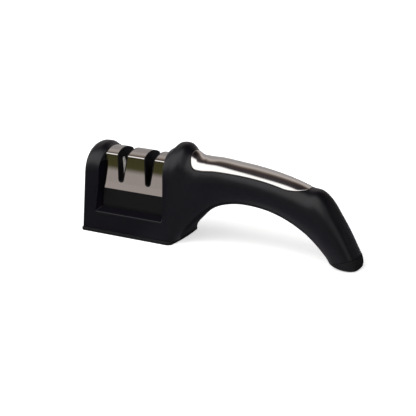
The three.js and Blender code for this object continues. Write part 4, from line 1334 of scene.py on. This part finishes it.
def light_tent():
    """A half round tent along x over the sharpener, closed at both ends. Its cloth glows in bands by the
    angle about x, from 0 at the back floor over the top to 1 at the front floor. At the back the bands
    slant along x, and towards the tail's end the cloth is dimmer."""
    turn = np.linspace(0, math.pi, 91)
    arc = TENT_RADIUS * np.stack([np.cos(turn), np.sin(turn)], axis=-1)
    ends = np.array([-TENT_HALF, TENT_HALF])
    tent = Patches()
    across, along = np.meshgrid(np.arange(len(turn)), ends, indexing="ij")
    tent.grid(np.stack([along, arc[across, 0], arc[across, 1]], axis=-1) - ORIGIN)
    for end in ends:
        share = np.linspace(0.02, 1, 12)[:, None]
        cap = np.stack([end + 0 * share * arc[:, 0], share * arc[:, 0], share * arc[:, 1]], axis=-1)
        tent.grid(cap - ORIGIN, flip=end > 0)
    material, tree = new_material("tent_cloth")
    spot = node(tree, "ShaderNodeTexCoord", output="Object")
    apart = tree.nodes.new("ShaderNodeSeparateXYZ")
    tree.links.new(spot.socket, apart.inputs[0])
    x, y, z = (Value(tree, apart.outputs[axis]) for axis in "XYZ")
    place = y.maths("ARCTAN2", z, y) * (1 / math.pi)
    # The slant is steeper on the head's side, stops growing at its limit and fades out towards the dark top.
    aside = x - SLANT_START
    slant = x.maths("MINIMUM", aside, SLANT_LIMIT) * SLANT + x.maths("MINIMUM", aside, 0.0) * HEAD_SLANT
    fade = falling(place, DARK_TOP + 0.01, 10.0) * (1.0 - rising(x, LEVEL_START, 1.5))
    # From the head on, bands are shifted towards the back floor. The slant carries none past the dark top.
    shifted = place + rising(x, SHIFT_START, 3.0) * SHIFT
    banded = x.maths("MINIMUM", shifted + slant * fade, x.maths("MAXIMUM", shifted, DARK_TOP))
    bands = node(tree, "ShaderNodeValToRGB", {"stops": TENT_BANDS}, {0: banded})
    bands = blend(tree, rising(place, HORIZON, 500.0), bands, HORIZON_GREY)
    # The cloth is dim behind the grip and at the tail's end, a little less so at the far end.
    aback = rising(x, GRIP_DIM_START, 2.5) * falling(place, 0.5, 10.0)
    dimmed = x.maths("MAXIMUM", rising(x, END_DIM_START, 2.2), aback)
    strength = 1.0 - dimmed * (DIMMING - rising(x, FAR_END, 2.0) * FAR_END_RELIEF)
    glow = node(tree, "ShaderNodeEmission", None, {"Color": bands, "Strength": strength})
    node(tree, "ShaderNodeOutputMaterial", None, {0: glow})
    cloth = stage_piece("light_tent", tent.mesh("light_tent"), material)
    cloth.visible_camera = False
    cloth.visible_shadow = False


def floor_cards():
    """Cards on the floor before and under the sharpener, seen only in its gloss; the dark one under it is
    painted shade, standing in for its shadow on the floor.
    """
    for name, left, right, near, far, level, colour in CARDS:
        corners = np.array([[(end, y, level) for end in (left, right)] for y in (near, far)])
        material, tree = new_material(name)
        glow = node(tree, "ShaderNodeEmission", None, {"Color": colour, "Strength": 1.0})
        node(tree, "ShaderNodeOutputMaterial", None, {0: glow})
        card = stage_piece(name, grid_mesh(name, corners - ORIGIN), material)
        card.visible_camera = False
        card.visible_diffuse = False
        card.visible_shadow = False


def white_room():
    """Outside the tent everything is white to the eye and in the metal."""
    world = bpy.data.worlds.new("room")
    world.use_nodes = True
    tree = world.node_tree
    tree.nodes.clear()
    seen = ray_glow(tree, "Is Camera Ray", "Is Glossy Ray", "Is Transmission Ray")
    lit = node(tree, "ShaderNodeBackground", None, {"Color": (1, 1, 1, 1), "Strength": seen * 0.2 + 0.8})
    node(tree, "ShaderNodeOutputWorld", None, {0: lit})
    bpy.context.scene.world = world


def area_light(name, spot, target, size, power):
    """A soft lamp that shapes the shadows but isn't mirrored in the metal."""
    data = bpy.data.lights.new(name, "AREA")
    data.size = size
    data.energy = power
    lamp = bpy.data.objects.new(name, data)
    lamp.location = spot
    lamp.rotation_euler = (Vector(target) - Vector(spot)).to_track_quat("-Z", "Y").to_euler()
    lamp.visible_glossy = False
    bpy.context.scene.collection.objects.link(lamp)


class StageOperator(bpy.types.Operator):
    """The pale floor, the light tent, the cards, the soft lamp and the camera"""

    bl_idname = "sharpener.stage"
    bl_label = "Floor, light and camera"

    def execute(self, context):
        scene = bpy.context.scene
        pale_floor()
        light_tent()
        floor_cards()
        white_room()
        area_light("soft_lamp", (-0.5, -0.7, 1.2), (0, 0, 0.03), 0.9, 7.0)

        lens = bpy.data.cameras.new("camera")
        lens.sensor_width = 36.0
        lens.lens = 116.05
        level = math.cos(CAMERA_RISE)
        back = Vector((math.sin(CAMERA_TURN) * level, -math.cos(CAMERA_TURN) * level, math.sin(CAMERA_RISE)))
        camera = bpy.data.objects.new("camera", lens)
        camera.location = Vector(CAMERA_TARGET) + back * CAMERA_DISTANCE
        camera.rotation_euler = back.to_track_quat("Z", "Y").to_euler()
        scene.collection.objects.link(camera)
        scene.camera = camera
        scene.view_settings.view_transform = "Standard"
        return {"FINISHED"}


class SharpenerPanel(bpy.types.Panel):
    """The sharpener's pieces and values in the 3D view's sidebar"""

    bl_idname = "VIEW3D_PT_sharpener"
    bl_label = "Sharpener"
    bl_space_type = "VIEW_3D"
    bl_region_type = "UI"
    bl_category = "Sharpener"

    def draw(self, context):
        for group in (sizes(), colours()):
            for name in group.__annotations__:
                self.layout.prop(group, name)
        for operator in OPERATORS:
            self.layout.operator(operator.bl_idname)


OPERATORS = (
    StageOperator, HousingOperator, CoverOperator, LeafOperator, SoleOperator, FootOperator,
    StagesOperator, CarrierOperator, ScrewOperator,
)
CLASSES = (SharpenerSizes, SharpenerColours, *OPERATORS, SharpenerPanel)


def register():
    for one in CLASSES:
        bpy.utils.register_class(one)
    bpy.types.Scene.sharpener_sizes = PointerProperty(type=SharpenerSizes)
    bpy.types.Scene.sharpener_colours = PointerProperty(type=SharpenerColours)


def unregister():
    del bpy.types.Scene.sharpener_colours
    del bpy.types.Scene.sharpener_sizes
    for one in reversed(CLASSES):
        bpy.utils.unregister_class(one)


def main():
    register()
    bpy.ops.sharpener.stage()
    bpy.ops.sharpener.housing()
    bpy.ops.sharpener.cover()
    bpy.ops.sharpener.leaf()
    bpy.ops.sharpener.sole()
    bpy.ops.sharpener.foot()
    bpy.ops.sharpener.stages()
    bpy.ops.sharpener.carrier()
    bpy.ops.sharpener.screws()


if __name__ == "__main__":
    main()
